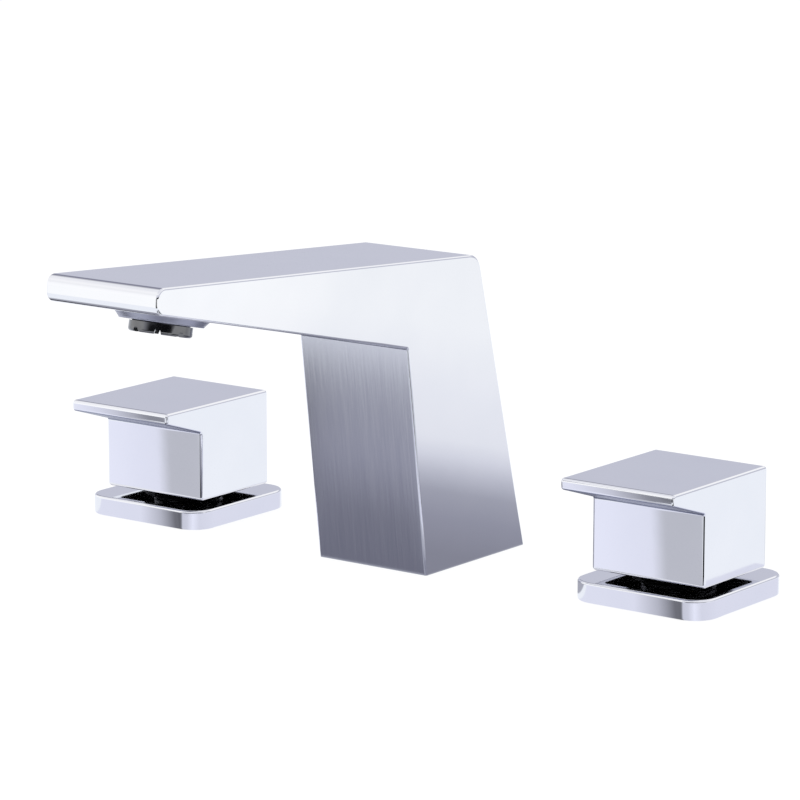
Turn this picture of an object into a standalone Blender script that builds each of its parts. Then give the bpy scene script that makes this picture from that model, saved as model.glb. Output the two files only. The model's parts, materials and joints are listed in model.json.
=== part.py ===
"""A three-piece widespread basin faucet: a leaning block spout between two block handles.

Metres, +Z up. The origin lies on the top of the deck, on the axis of the spout's shank. The spout
points to -Y, the hot valve stands at -X and the cold valve at +X, and what hangs below the deck
has negative heights.
"""

import math

import bmesh
import bpy
from mathutils import Matrix, Vector

# Clearances
FIT = 0.0003
OVERRUN = 0.0015

# Facets
ROUND_SIDES = 18
FINE_SIDES = 24
BORE_SIDES = 16
ARC_STEPS = 3
SEAL_SIDES = 6
JET_SIDES = 6

# Layout on the deck
VALVE_CENTRES = 0.2032
DECK_SPACE = 0.030

# Spout casting
SPOUT_WIDTH = 0.044
SPOUT_BASE_DEPTH = 0.055
SPOUT_CROTCH_FORWARD = 0.0375
SPOUT_CROTCH_HEIGHT = 0.0765
SPOUT_TIP_FORWARD = 0.160
SPOUT_TIP_HEIGHT = 0.105
SPOUT_TIP_THICKNESS = 0.008
SPOUT_TIP_LEAN = 0.0005
SPOUT_SHOULDER_BACK = 0.001
SPOUT_SHOULDER_HEIGHT = 0.102
SPOUT_EDGE_RADIUS = 0.001
SPOUT_LIP_RADIUS = 0.0032
SPOUT_SHOULDER_RADIUS = 0.005
SPOUT_CROTCH_RADIUS = 0.002
SPOUT_WALL = 0.003
SPOUT_FLOOR = 0.012
SPOUT_NOSE = 0.014

# Outlet and aerator, along the outlet's own axis
OUTLET_BEHIND_TIP = 0.028
COLLAR_RADIUS = 0.0146
COLLAR_TAPER = 0.0014
COLLAR_HEIGHT = 0.002
COLLAR_EDGE = 0.0004
OUTLET_BOSS_WALL = 0.003
OUTLET_BOSS_HEIGHT = 0.0025
OUTLET_LEDGE = 0.0012
OUTLET_LEDGE_WIDTH = 0.0018
AERATOR_RADIUS = 0.009
AERATOR_RIM_WIDTH = 0.0008
AERATOR_RIM_HEIGHT = 0.0033
AERATOR_WALL = 0.0012
AERATOR_STOP_WIDTH = 0.0009
AERATOR_STOP_HEIGHT = 0.0004
CROWN_NOTCHES = 8
CROWN_NOTCH_DEPTH = 0.0014
CROWN_NOTCH_WIDTH = 0.0030
CROWN_NOTCH_ROOT_SHARE = 0.5
AERATOR_WASHER = 0.0012
GRID_HEIGHT = 0.0012
GRID_HOLE_FLATS = 0.0019
GRID_PITCH = 0.0030
GRID_RINGS = 2
INSERT_HEIGHT = 0.0022
INSERT_FLANGE = 0.0007
INSERT_CORE_RADIUS = 0.0045
JET_COUNT = 10
JET_RADIUS = 0.0005
SCREEN_THICKNESS = 0.0004
SCREEN_RISE = 0.0008
SCREEN_SHOULDER_SHARE = 0.75

# Spout shank, its seals and the tee below the deck
GASKET_INSET = 0.0045
GASKET_WIDTH = 0.003
GASKET_HEIGHT = 0.0017
GASKET_CORNER = 0.0035
SHANK_RADIUS = 0.0104
SHANK_BORE = 0.006
SHANK_BELOW = 0.060
SHANK_RING_DEPTH = 0.002
SHANK_RING_HEIGHT = 0.0022
SHANK_RING_ABOVE_DECK = 0.005
SPOUT_WASHER_RADIUS = 0.0205
SPOUT_NUT_FLATS = 0.030
TEE_RADIUS = 0.0138
TEE_SOCKET = 0.012
TEE_HEIGHT = 0.028
TEE_ARM_RADIUS = 0.0072
TEE_ARM_REACH = 0.030
TEE_ARM_BORE = 0.0042
TEE_WASHER = 0.0015

# What clamps each shank and valve body to the deck
DECK_SEAL = 0.003
DECK_WASHER = 0.0015
DECK_NUT = 0.007
NUT_CHAMFER = 0.0008

# Handle, about its valve's axis
HANDLE_WIDTH = 0.0424
HANDLE_DEPTH = 0.036
HANDLE_LIP = 0.018
HANDLE_TOP = 0.042
HANDLE_GAP = 0.0022
LIP_TIP_THICKNESS = 0.0036
LIP_ROOT_THICKNESS = 0.0093
HANDLE_EDGE_RADIUS = 0.0009
HANDLE_CORNER_RADIUS = 0.0012
HANDLE_WALL = 0.0025
HANDLE_ROOF = 0.005
HANDLE_CAVITY_CORNER = 0.002
HUB_WALL = 0.0022
SCREW_BOSS_RADIUS = 0.0034
SCREW_RADIUS = 0.0019
SCREW_SUNK = 0.0057
SCREW_SOCKET_FLATS = 0.002
SCREW_SOCKET_DEPTH = 0.0018
SCREW_BELOW_ADAPTER_TOP = 0.005
HANDLE_TRAVEL = 90.0
CLOSED_ANGLE = -90.0

# Escutcheon
PLATE_SIDE = 0.0508
PLATE_THICKNESS = 0.0066
PLATE_CORNER = 0.0082
PLATE_EDGE_RADIUS = 0.0008
PLATE_RIM = 0.0022
PLATE_RECESS = 0.003
PLATE_GASKET_WIDTH = 0.005
RING_NUT_WIDTH = 0.0027
RING_NUT_HEIGHT = 0.0018
RING_NUT_NOTCH = 0.002

# Valve body
VALVE_RADIUS = 0.012
VALVE_WALL = 0.0027
VALVE_ABOVE_RING_NUT = 0.0049
VALVE_HUB_TOP = -0.046
VALVE_HUB_RADIUS = 0.0145
VALVE_HUB_HEIGHT = 0.018
VALVE_INLET_RADIUS = 0.0104
VALVE_INLET_LENGTH = 0.018
VALVE_INLET_BORE = 0.006
VALVE_WASHER_RADIUS = 0.019
VALVE_NUT_FLATS = 0.032
FEED_RADIUS = 0.0036
SEAT_BOSS_WALL = 0.0018
SEAT_BOSS_HEIGHT = 0.0025
RETURN_WALL = 0.0004
RETURN_SWEEP = 100.0
SIDE_OUTLET_RADIUS = 0.0085
SIDE_OUTLET_BORE = 0.0045
SIDE_OUTLET_REACH = 0.032

# Quarter-turn cartridge, from the seat upwards
SEAT_SEAL_HEIGHT = 0.0025
DISC_RADIUS = 0.0059
DISC_HEIGHT = 0.003
PORT_INNER = 0.0016
PORT_OUTER_WALL = 0.0008
PORT_SWEEP = 76.0
DISC_KEY_WIDTH = 0.0024
TANG_LENGTH = 0.0088
TANG_WIDTH = 0.0024
TANG_DEPTH = 0.0015
TANG_CORNER = 0.0006
TANG_HEIGHT = 0.003
SLEEVE_WALL = 0.0012
SLEEVE_WINDOW_SWEEP = 80.0
STEM_FLANGE = 0.0025
BONNET_THREAD_HEIGHT = 0.012
BONNET_FLATS = 0.019
BONNET_HEX_HEIGHT = 0.0037
BONNET_NECK_RADIUS = 0.0066
BONNET_NECK_HEIGHT = 0.0065
STEM_RADIUS = 0.0040
RING_GROOVE_DEPTH = 0.0013
RING_GROOVE_HEIGHT = 0.0018
STEM_RING_RISE = 0.006
BONNET_RING_RISE = 0.0015
STOP_HEIGHT = 0.0022
STOP_WALL = 0.0016
LUG_SWEEP = 40.0
LUG_PLAY = 2.5
SPLINE_TEETH = 16
SPLINE_LAND_SHARE = 0.3
SPLINE_DEPTH = 0.0004
SPLINE_TIP_RADIUS = 0.0039
SPLINE_LENGTH = 0.0095
SPLINE_RISE = 0.0015
ADAPTER_RADIUS = 0.006
ADAPTER_ROOF = 0.0009

# Finishes: colour, roughness, metallic
FINISHES = {
    "chrome": ((0.83, 0.84, 0.88, 1.0), 0.06, 1.0),
    "brass": ((0.78, 0.60, 0.30, 1.0), 0.30, 1.0),
    "steel": ((0.62, 0.63, 0.65, 1.0), 0.32, 1.0),
    "ceramic": ((0.90, 0.89, 0.86, 1.0), 0.20, 0.0),
    "rubber": ((0.03, 0.03, 0.03, 1.0), 0.75, 0.0),
    "plastic": ((0.06, 0.06, 0.07, 1.0), 0.40, 0.0),
    "white_plastic": ((0.80, 0.80, 0.78, 1.0), 0.45, 0.0),
}

# Heights that follow from the sizes above
BLOCK_BOTTOM = PLATE_THICKNESS + HANDLE_GAP
RING_NUT_TOP = PLATE_THICKNESS
RING_NUT_BOTTOM = RING_NUT_TOP - RING_NUT_HEIGHT
VALVE_TOP = RING_NUT_TOP + VALVE_ABOVE_RING_NUT
CARTRIDGE_BORE = VALVE_RADIUS - VALVE_WALL
SLEEVE_BORE = DISC_RADIUS + FIT
SLEEVE_RADIUS = SLEEVE_BORE + SLEEVE_WALL
BONNET_HEX_BOTTOM = VALVE_TOP + FIT
BONNET_THREAD_BOTTOM = VALVE_TOP - BONNET_THREAD_HEIGHT
SHOULDER = BONNET_THREAD_BOTTOM + FIT
STEM_FLANGE_BOTTOM = SHOULDER - FIT - STEM_FLANGE
MOVING_DISC_TOP = STEM_FLANGE_BOTTOM - TANG_HEIGHT
MOVING_DISC_BOTTOM = MOVING_DISC_TOP - DISC_HEIGHT
FIXED_DISC_TOP = MOVING_DISC_BOTTOM - FIT
FIXED_DISC_BOTTOM = FIXED_DISC_TOP - DISC_HEIGHT
SEAT_SEAL_TOP = FIXED_DISC_BOTTOM - FIT
SEAT_SEAL_BOTTOM = SEAT_SEAL_TOP - SEAT_SEAL_HEIGHT
SEAT = SEAT_SEAL_BOTTOM - FIT
CHAMBER_FLOOR = SEAT - SEAT_BOSS_HEIGHT
BONNET_TOP = BONNET_HEX_BOTTOM + BONNET_HEX_HEIGHT + BONNET_NECK_HEIGHT
STEM_BORE = STEM_RADIUS + FIT
LUG_BOTTOM = BONNET_TOP + FIT
STOP_TOP = BONNET_TOP + STOP_HEIGHT
SPLINE_BOTTOM = STOP_TOP + SPLINE_RISE
ADAPTER_BOTTOM = SPLINE_BOTTOM + FIT
STEM_TOP = SPLINE_BOTTOM + SPLINE_LENGTH
ADAPTER_TOP = STEM_TOP + FIT + ADAPTER_ROOF
DECK_UNDERSIDE = -DECK_SPACE
WASHER_TOP = DECK_UNDERSIDE - DECK_SEAL - FIT
NUT_TOP = WASHER_TOP - DECK_WASHER - FIT
VALVE_HUB_BOTTOM = VALVE_HUB_TOP - VALVE_HUB_HEIGHT
SIDE_OUTLET_HEIGHT = (VALVE_HUB_TOP + VALVE_HUB_BOTTOM) / 2


def clear_scene():
    for obj in list(bpy.data.objects):
        bpy.data.objects.remove(obj, do_unlink=True)


def empty(name, location, rotation=(0.0, 0.0, 0.0), parent=None):
    marker = bpy.data.objects.new(name, None)
    marker.location = location
    marker.rotation_euler = rotation
    marker.parent = parent
    bpy.context.scene.collection.objects.link(marker)
    return marker


def solid(name, bm):
    bmesh.ops.recalc_face_normals(bm, faces=bm.faces)
    mesh = bpy.data.meshes.new(name)
    bm.to_mesh(mesh)
    bm.free()
    obj = bpy.data.objects.new(name, mesh)
    bpy.context.scene.collection.objects.link(obj)
    return obj


def together(name, shapes):
    """One object from several separate shapes, to cut them all in one step."""
    whole = bmesh.new()
    for shape in shapes:
        piece = bpy.data.meshes.new(name)
        shape.to_mesh(piece)
        shape.free()
        whole.from_mesh(piece)
        bpy.data.meshes.remove(piece)
    return solid(name, whole)


def combine(body, operation, tools):
    """Join tools to the body or cut them from it, one after the other, and remove them."""
    for number, tool in enumerate(tools):
        boolean = body.modifiers.new("step_%d" % number, "BOOLEAN")
        boolean.operation = operation
        boolean.object = tool
    depsgraph = bpy.context.evaluated_depsgraph_get()
    shaped = bpy.data.meshes.new_from_object(body.evaluated_get(depsgraph))
    body.modifiers.clear()
    body.data = shaped
    for tool in tools:
        bpy.data.objects.remove(tool, do_unlink=True)
    return body


def join(body, *tools):
    return combine(body, "UNION", tools)


def cut(body, *tools):
    return combine(body, "DIFFERENCE", tools)


def dress(obj, finish, parent):
    """Give a finished piece its material, its shading and the axis that it hangs from."""
    colour, roughness, metallic = FINISHES[finish]
    material = bpy.data.materials.new(obj.name + "_" + finish)
    material.use_nodes = True
    shader = material.node_tree.nodes["Principled BSDF"]
    shader.inputs["Base Color"].default_value = colour
    shader.inputs["Roughness"].default_value = roughness
    shader.inputs["Metallic"].default_value = metallic
    material.diffuse_color = colour
    obj.data.materials.clear()
    obj.data.materials.append(material)
    obj.data.shade_smooth()
    obj.data.set_sharp_from_angle(angle=math.radians(25))
    obj.parent = parent
    return obj


def loft(rings, closed=False):
    """A solid through rings of as many points each: capped at its ends, or closed on itself."""
    bm = bmesh.new()
    rows = [[bm.verts.new(point) for point in ring] for ring in rings]
    pairs = list(zip(rows, rows[1:]))
    if closed:
        pairs.append((rows[-1], rows[0]))
    for near, far in pairs:
        for i in range(len(near)):
            j = (i + 1) % len(near)
            bm.faces.new((near[i], near[j], far[j], far[i]))
    if not closed:
        bm.faces.new(list(reversed(rows[0])))
        bm.faces.new(rows[-1])
    return bm


def at_height(outline, height):
    return [(x, y, height) for x, y in outline]


def prism(outline, low, high):
    return loft([at_height(outline, low), at_height(outline, high)])


def outline_ring(outer, inner, low, high):
    """A flat ring between two outlines of as many points each."""
    rings = [at_height(outer, low), at_height(outer, high), at_height(inner, high), at_height(inner, low)]
    return loft(rings, closed=True)


def turned(profile, sides=ROUND_SIDES):
    """A solid of revolution about Z, from a closed profile of (radius, height) corners."""
    bm = bmesh.new()
    rows = []
    for radius, height in profile:
        count = sides if radius > 0 else 1
        angles = [math.tau * k / sides for k in range(count)]
        rows.append([bm.verts.new((radius * math.cos(a), radius * math.sin(a), height)) for a in angles])
    for row, following in zip(rows, rows[1:] + rows[:1]):
        if len(row) == 1 and len(following) == 1:
            continue
        for k in range(sides):
            corners = [row[k % len(row)], row[(k + 1) % len(row)]]
            corners += [following[(k + 1) % len(following)], following[k % len(following)]]
            bm.faces.new(list(dict.fromkeys(corners)))
    return bm


def tube(inner, outer, low, high, sides=ROUND_SIDES):
    return turned([(inner, low), (outer, low), (outer, high), (inner, high)], sides)


def rod(radius, low, high, sides=ROUND_SIDES):
    return turned([(0.0, low), (radius, low), (radius, high), (0.0, high)], sides)


def seal_ring(centre_radius, section_radius, height):
    """A rubber ring of round section."""
    profile = []
    for k in range(SEAL_SIDES):
        angle = math.tau * k / SEAL_SIDES
        radius = centre_radius + section_radius * math.cos(angle)
        profile.append((radius, height + section_radius * math.sin(angle)))
    return turned(profile, BORE_SIDES)


def turn_to(bm, direction, origin=(0.0, 0.0, 0.0)):
    """Lay a shape that was made along Z along another direction, from an origin."""
    aim = Vector(direction).to_track_quat("Z", "Y").to_matrix().to_4x4()
    bm.transform(Matrix.Translation(origin) @ aim)
    return bm


def arc(centre, radius, start, sweep, steps):
    """Points on an arc, with angles in degrees."""
    points = []
    for k in range(steps + 1):
        angle = math.radians(start + sweep * k / steps)
        points.append((centre[0] + radius * math.cos(angle), centre[1] + radius * math.sin(angle)))
    return points


def sector(inner, outer, middle, sweep, low, high):
    """A slice of a ring, centred on the angle middle, with angles in degrees."""
    steps = max(2, round(sweep / 360.0 * ROUND_SIDES))
    far = arc((0.0, 0.0), outer, middle - sweep / 2, sweep, steps)
    near = arc((0.0, 0.0), inner, middle + sweep / 2, -sweep, steps)
    return prism(far + near, low, high)


def rounded_rectangle(width, depth, radius, steps=ARC_STEPS):
    points = []
    across = width / 2 - radius
    along = depth / 2 - radius
    for k, (sx, sy) in enumerate(((1, 1), (-1, 1), (-1, -1), (1, -1))):
        points += arc((sx * across, sy * along), radius, 90.0 * k, 90.0, steps)
    return points


def hexagon(across_flats, centre=(0.0, 0.0)):
    return polar_points(6, across_flats / math.sqrt(3), centre)


def polar_points(count, radius, centre=(0.0, 0.0)):
    """Points spaced evenly on a circle, which is also a regular polygon."""
    points = []
    for k in range(count):
        angle = math.tau * k / count
        points.append((centre[0] + radius * math.cos(angle), centre[1] + radius * math.sin(angle)))
    return points


def shifted_corners(corners, shifts):
    """The corners of a counter-clockwise polygon after each side has moved inwards by its shift."""
    lines = []
    for i, start in enumerate(corners):
        along = (corners[(i + 1) % len(corners)] - start).normalized()
        inwards = Vector((-along.y, along.x))
        lines.append((start + inwards * shifts[i], along))
    moved = []
    for i, (point, along) in enumerate(lines):
        previous_point, previous_along = lines[i - 1]
        turn = previous_along.x * along.y - previous_along.y * along.x
        gap = point - previous_point
        reach = (gap.x * along.y - gap.y * along.x) / turn
        moved.append(previous_point + previous_along * reach)
    return moved


def filleted(corners, radii, steps=ARC_STEPS):
    """A polygon's outline with its corners rounded; a corner of radius zero stays sharp."""
    outline = []
    for i, (corner, radius) in enumerate(zip(corners, radii)):
        if radius == 0:
            outline.append(corner)
            continue
        back = (corners[i - 1] - corner).normalized()
        ahead = (corners[(i + 1) % len(corners)] - corner).normalized()
        half = back.angle(ahead) / 2
        centre = corner + (back + ahead).normalized() * (radius / math.sin(half))
        first = corner + back * (radius / math.tan(half)) - centre
        last = corner + ahead * (radius / math.tan(half)) - centre
        start = math.atan2(first.y, first.x)
        sweep = math.atan2(first.x * last.y - first.y * last.x, first.dot(last))
        for k in range(steps + 1):
            angle = start + sweep * k / steps
            outline.append(centre + Vector((math.cos(angle), math.sin(angle))) * radius)
    return outline


def is_convex(corners, i):
    back = corners[i] - corners[i - 1]
    ahead = corners[(i + 1) % len(corners)] - corners[i]
    return back.x * ahead.y - back.y * ahead.x > 0


def side_profiled(corners, radii, kept_side, width, edge):
    """A block with one outline seen from the side (y, z), rounded along both of its side faces.

    The side of the outline that starts at corner kept_side stays where it is, so a block can
    stand flat; None rounds all of them.
    """
    rings = []
    for side in (-1, 1):
        for k in range(ARC_STEPS + 1):
            angle = math.radians(90.0 * k / ARC_STEPS)
            if side < 0:
                angle = math.radians(90.0) - angle
            inset = edge * (1 - math.cos(angle))
            across = side * (width / 2 - edge + edge * math.sin(angle))
            shifts = [0.0 if i == kept_side else inset for i in range(len(corners))]
            eased = []
            for i, radius in enumerate(radii):
                change = -inset if is_convex(corners, i) else inset
                eased.append(radius + change if radius > 0 else radius)
            outline = filleted(shifted_corners(corners, shifts), eased)
            rings.append([(across, point.x, point.y) for point in outline])
    return loft(rings)


def spout_corners():
    """The spout seen from the +X side, as (y, z), counter-clockwise from the base's front."""
    half = SPOUT_BASE_DEPTH / 2
    tip_top = SPOUT_TIP_HEIGHT + SPOUT_TIP_THICKNESS
    return [
        Vector((-half, 0.0)),
        Vector((half, 0.0)),
        Vector((SPOUT_SHOULDER_BACK, SPOUT_SHOULDER_HEIGHT)),
        Vector((-SPOUT_TIP_FORWARD + SPOUT_TIP_LEAN, tip_top)),
        Vector((-SPOUT_TIP_FORWARD, SPOUT_TIP_HEIGHT)),
        Vector((-SPOUT_CROTCH_FORWARD, SPOUT_CROTCH_HEIGHT)),
    ]


def outlet_frame():
    """The outlet's origin on the spout's underside, and its tilt about X so that +Z points inwards."""
    run = SPOUT_TIP_FORWARD - SPOUT_CROTCH_FORWARD
    rise = SPOUT_TIP_HEIGHT - SPOUT_CROTCH_HEIGHT
    behind = SPOUT_TIP_FORWARD - OUTLET_BEHIND_TIP
    height = SPOUT_TIP_HEIGHT - OUTLET_BEHIND_TIP * rise / run
    return Vector((0.0, -behind, height)), -math.atan2(rise, run)


def in_outlet_frame(bm):
    origin, tilt = outlet_frame()
    bm.transform(Matrix.Translation(origin) @ Matrix.Rotation(tilt, 4, "X"))
    return bm


def spout_body(parent):
    corners = spout_corners()
    lip = SPOUT_LIP_RADIUS
    radii = [0.0, 0.0, SPOUT_SHOULDER_RADIUS, lip, lip, SPOUT_CROTCH_RADIUS]
    body = solid("spout_body", side_profiled(corners, radii, 0, SPOUT_WIDTH, SPOUT_EDGE_RADIUS))
    collar = [
        (0.0, SPOUT_WALL / 2),
        (COLLAR_RADIUS, SPOUT_WALL / 2),
        (COLLAR_RADIUS, 0.0),
        (COLLAR_RADIUS - COLLAR_TAPER, -COLLAR_HEIGHT + COLLAR_EDGE),
        (COLLAR_RADIUS - COLLAR_TAPER - COLLAR_EDGE, -COLLAR_HEIGHT),
        (0.0, -COLLAR_HEIGHT),
    ]
    join(body, solid("collar", in_outlet_frame(turned(collar, FINE_SIDES))))

    walls = [SPOUT_FLOOR, SPOUT_WALL, SPOUT_WALL, SPOUT_NOSE, SPOUT_WALL, SPOUT_WALL]
    inner = shifted_corners(corners, walls)
    half = SPOUT_WIDTH / 2 - SPOUT_WALL
    waterway = solid("waterway", loft([[(x, p.x, p.y) for p in inner] for x in (-half, half)]))
    bore = AERATOR_RADIUS + FIT
    boss_top = SPOUT_WALL + OUTLET_BOSS_HEIGHT
    boss = rod(bore + OUTLET_BOSS_WALL, 0.0, boss_top, BORE_SIDES)
    cut(waterway, solid("boss", in_outlet_frame(boss)))
    ledge = boss_top - OUTLET_LEDGE
    outlet = [
        (0.0, -COLLAR_HEIGHT - OVERRUN),
        (bore, -COLLAR_HEIGHT - OVERRUN),
        (bore, ledge),
        (bore - OUTLET_LEDGE_WIDTH, ledge),
        (bore - OUTLET_LEDGE_WIDTH, boss_top + OVERRUN),
        (0.0, boss_top + OVERRUN),
    ]
    shank_hole = rod(SHANK_RADIUS + FIT, -OVERRUN, SPOUT_FLOOR + OVERRUN)
    cut(
        body,
        waterway,
        solid("outlet", in_outlet_frame(turned(outlet))),
        solid("shank_hole", shank_hole),
        solid("groove", gasket_ring(FIT, -OVERRUN, GASKET_HEIGHT + FIT)),
    )
    return dress(body, "chrome", parent)


def gasket_ring(clearance, low, high):
    """The spout's base gasket, or its groove when there is a clearance."""
    outer_inset = GASKET_INSET - clearance
    inner_inset = GASKET_INSET + GASKET_WIDTH + clearance
    outlines = []
    for inset, radius in ((outer_inset, GASKET_CORNER), (inner_inset, GASKET_CORNER - GASKET_WIDTH)):
        width = SPOUT_WIDTH - 2 * inset
        depth = SPOUT_BASE_DEPTH - 2 * inset
        outlines.append(rounded_rectangle(width, depth, radius))
    return outline_ring(outlines[0], outlines[1], low, high)


def aerator_ledge():
    return SPOUT_WALL + OUTLET_BOSS_HEIGHT - OUTLET_LEDGE


def aerator(parent):
    """The screw-in aerator, stacked along the outlet's axis."""
    rim_top = -COLLAR_HEIGHT - FIT
    rim_bottom = rim_top - AERATOR_RIM_HEIGHT
    washer_top = aerator_ledge() - FIT
    washer_bottom = washer_top - AERATOR_WASHER
    housing_top = washer_bottom - FIT
    bore = AERATOR_RADIUS - AERATOR_WALL
    stop_top = rim_bottom + CROWN_NOTCH_DEPTH + AERATOR_STOP_HEIGHT
    stop_bottom = rim_bottom + CROWN_NOTCH_DEPTH
    housing_profile = [
        (AERATOR_RADIUS, housing_top),
        (AERATOR_RADIUS, rim_top),
        (AERATOR_RADIUS + AERATOR_RIM_WIDTH, rim_top),
        (AERATOR_RADIUS + AERATOR_RIM_WIDTH, rim_bottom),
        (bore, rim_bottom),
        (bore, stop_bottom),
        (bore - AERATOR_STOP_WIDTH, stop_bottom),
        (bore - AERATOR_STOP_WIDTH, stop_top),
        (bore, stop_top),
        (bore, housing_top),
    ]
    housing = solid("aerator_housing", turned(housing_profile, FINE_SIDES))
    mouth = CROWN_NOTCH_WIDTH / 2
    root = mouth * CROWN_NOTCH_ROOT_SHARE
    low = rim_bottom - OVERRUN
    high = rim_bottom + CROWN_NOTCH_DEPTH
    wedge = [(-mouth, low), (mouth, low), (root, high), (-root, high)]
    ends = (bore - AERATOR_STOP_WIDTH - OVERRUN, AERATOR_RADIUS + AERATOR_RIM_WIDTH + OVERRUN)
    notches = []
    for k in range(CROWN_NOTCHES):
        notch = loft([[(x, y, z) for y, z in wedge] for x in ends])
        notch.transform(Matrix.Rotation(math.tau * (k + 1 / 2) / CROWN_NOTCHES, 4, "Z"))
        notches.append(notch)
    cut(housing, together("notches", notches))
    dress(housing, "plastic", parent)

    grid_bottom = stop_top + FIT
    grid_top = grid_bottom + GRID_HEIGHT
    grid = solid("aerator_grid", rod(bore - FIT, grid_bottom, grid_top))
    holes = []
    for centre in honeycomb(GRID_RINGS, GRID_PITCH):
        outline = hexagon(GRID_HOLE_FLATS, centre)
        holes.append(prism(outline, grid_bottom - OVERRUN, grid_top + OVERRUN))
    cut(grid, together("holes", holes))
    dress(grid, "plastic", parent)

    insert_bottom = grid_top + FIT
    insert_top = insert_bottom + INSERT_HEIGHT
    insert_profile = [
        (0.0, insert_bottom),
        (INSERT_CORE_RADIUS, insert_bottom),
        (INSERT_CORE_RADIUS, insert_top - INSERT_FLANGE),
        (bore - FIT, insert_top - INSERT_FLANGE),
        (bore - FIT, insert_top),
        (0.0, insert_top),
    ]
    insert = solid("aerator_insert", turned(insert_profile))
    jets = []
    jet_circle = (INSERT_CORE_RADIUS + bore - FIT) / 2
    for centre in polar_points(JET_COUNT, jet_circle):
        outline = polar_points(JET_SIDES, JET_RADIUS, centre)
        jets.append(prism(outline, insert_bottom, insert_top + OVERRUN))
    cut(insert, together("jets", jets))
    dress(insert, "white_plastic", parent)

    screen_bottom = insert_top + FIT
    screen_profile = [
        (0.0, screen_bottom),
        (bore - FIT, screen_bottom),
        (bore - FIT, screen_bottom + SCREEN_THICKNESS),
        ((bore - FIT) / 2, screen_bottom + SCREEN_THICKNESS + SCREEN_RISE * SCREEN_SHOULDER_SHARE),
        (0.0, screen_bottom + SCREEN_THICKNESS + SCREEN_RISE),
    ]
    dress(solid("aerator_screen", turned(screen_profile, BORE_SIDES)), "steel", parent)
    washer = tube(bore, AERATOR_RADIUS, washer_bottom, washer_top, BORE_SIDES)
    dress(solid("aerator_washer", washer), "rubber", parent)


def honeycomb(rings, pitch):
    """Centres of a hexagonal pattern with so many rings round its middle."""
    centres = []
    for q in range(-rings, rings + 1):
        for r in range(max(-rings, -q - rings), min(rings, -q + rings) + 1):
            centres.append((pitch * (q + r / 2), pitch * r * math.sqrt(3) / 2))
    return centres


def deck_clamp(name, shank_radius, washer_radius, nut_flats, parent):
    """The rubber seal, washer and nut that clamp a shank against the deck's underside."""
    hole = shank_radius + FIT
    seal = tube(hole, washer_radius, DECK_UNDERSIDE - DECK_SEAL, DECK_UNDERSIDE)
    dress(solid(name + "_deck_seal", seal), "rubber", parent)
    washer = tube(hole, washer_radius, WASHER_TOP - DECK_WASHER, WASHER_TOP)
    dress(solid(name + "_deck_washer", washer), "steel", parent)
    nut = solid(name + "_deck_nut", prism(hexagon(nut_flats), NUT_TOP - DECK_NUT, NUT_TOP))
    corner = nut_flats / math.sqrt(3)
    bevels = []
    for face, inwards in ((NUT_TOP, -1), (NUT_TOP - DECK_NUT, 1)):
        outer = corner + OVERRUN
        slope = inwards * (outer - corner + NUT_CHAMFER)
        bevel = [(corner - NUT_CHAMFER, face), (outer, face + slope), (outer, face - inwards * OVERRUN)]
        bevel.append((corner - NUT_CHAMFER, face - inwards * OVERRUN))
        bevels.append(turned(bevel))
    bore = rod(hole, NUT_TOP - DECK_NUT - OVERRUN, NUT_TOP + OVERRUN)
    cut(nut, together("bevels", bevels), solid("bore", bore))
    dress(nut, "brass", parent)


def spout_shank(parent):
    groove_low = SHANK_RING_ABOVE_DECK
    groove_high = groove_low + SHANK_RING_HEIGHT
    groove_radius = SHANK_RADIUS - SHANK_RING_DEPTH
    top = SPOUT_FLOOR - FIT
    profile = [
        (SHANK_BORE, -SHANK_BELOW),
        (SHANK_RADIUS, -SHANK_BELOW),
        (SHANK_RADIUS, groove_low),
        (groove_radius, groove_low),
        (groove_radius, groove_high),
        (SHANK_RADIUS, groove_high),
        (SHANK_RADIUS, top),
        (SHANK_BORE, top),
    ]
    dress(solid("spout_shank", turned(profile)), "brass", parent)
    room = SHANK_RING_DEPTH + FIT
    ring = seal_ring(groove_radius + room / 2, room / 2 - FIT, (groove_low + groove_high) / 2)
    dress(solid("spout_shank_o_ring", ring), "rubber", parent)


def spout_tee(parent):
    """The tee that the two supply hoses feed, on the shank's lower end."""
    socket_floor = -SHANK_BELOW - FIT - TEE_WASHER - FIT
    top = socket_floor + TEE_SOCKET
    bottom = top - TEE_HEIGHT
    arm_height = bottom + TEE_RADIUS / 2 + TEE_ARM_RADIUS / 2
    tee = solid("spout_tee", rod(TEE_RADIUS, bottom, top))
    arms = turn_to(rod(TEE_ARM_RADIUS, -TEE_ARM_REACH, TEE_ARM_REACH), (1, 0, 0), (0.0, 0.0, arm_height))
    join(tee, solid("arms", arms))
    reach = TEE_ARM_REACH + OVERRUN
    cross = turn_to(rod(TEE_ARM_BORE, -reach, reach, BORE_SIDES), (1, 0, 0), (0.0, 0.0, arm_height))
    sump = arm_height - TEE_ARM_BORE / 2
    socket = [
        (0.0, sump),
        (SHANK_BORE, sump),
        (SHANK_BORE, socket_floor),
        (SHANK_RADIUS + FIT, socket_floor),
        (SHANK_RADIUS + FIT, top + OVERRUN),
        (0.0, top + OVERRUN),
    ]
    cut(tee, solid("cross", cross), solid("socket", turned(socket)))
    dress(tee, "brass", parent)
    washer = tube(SHANK_BORE, SHANK_RADIUS, socket_floor + FIT, socket_floor + FIT + TEE_WASHER)
    dress(solid("spout_tee_washer", washer), "rubber", parent)


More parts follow.
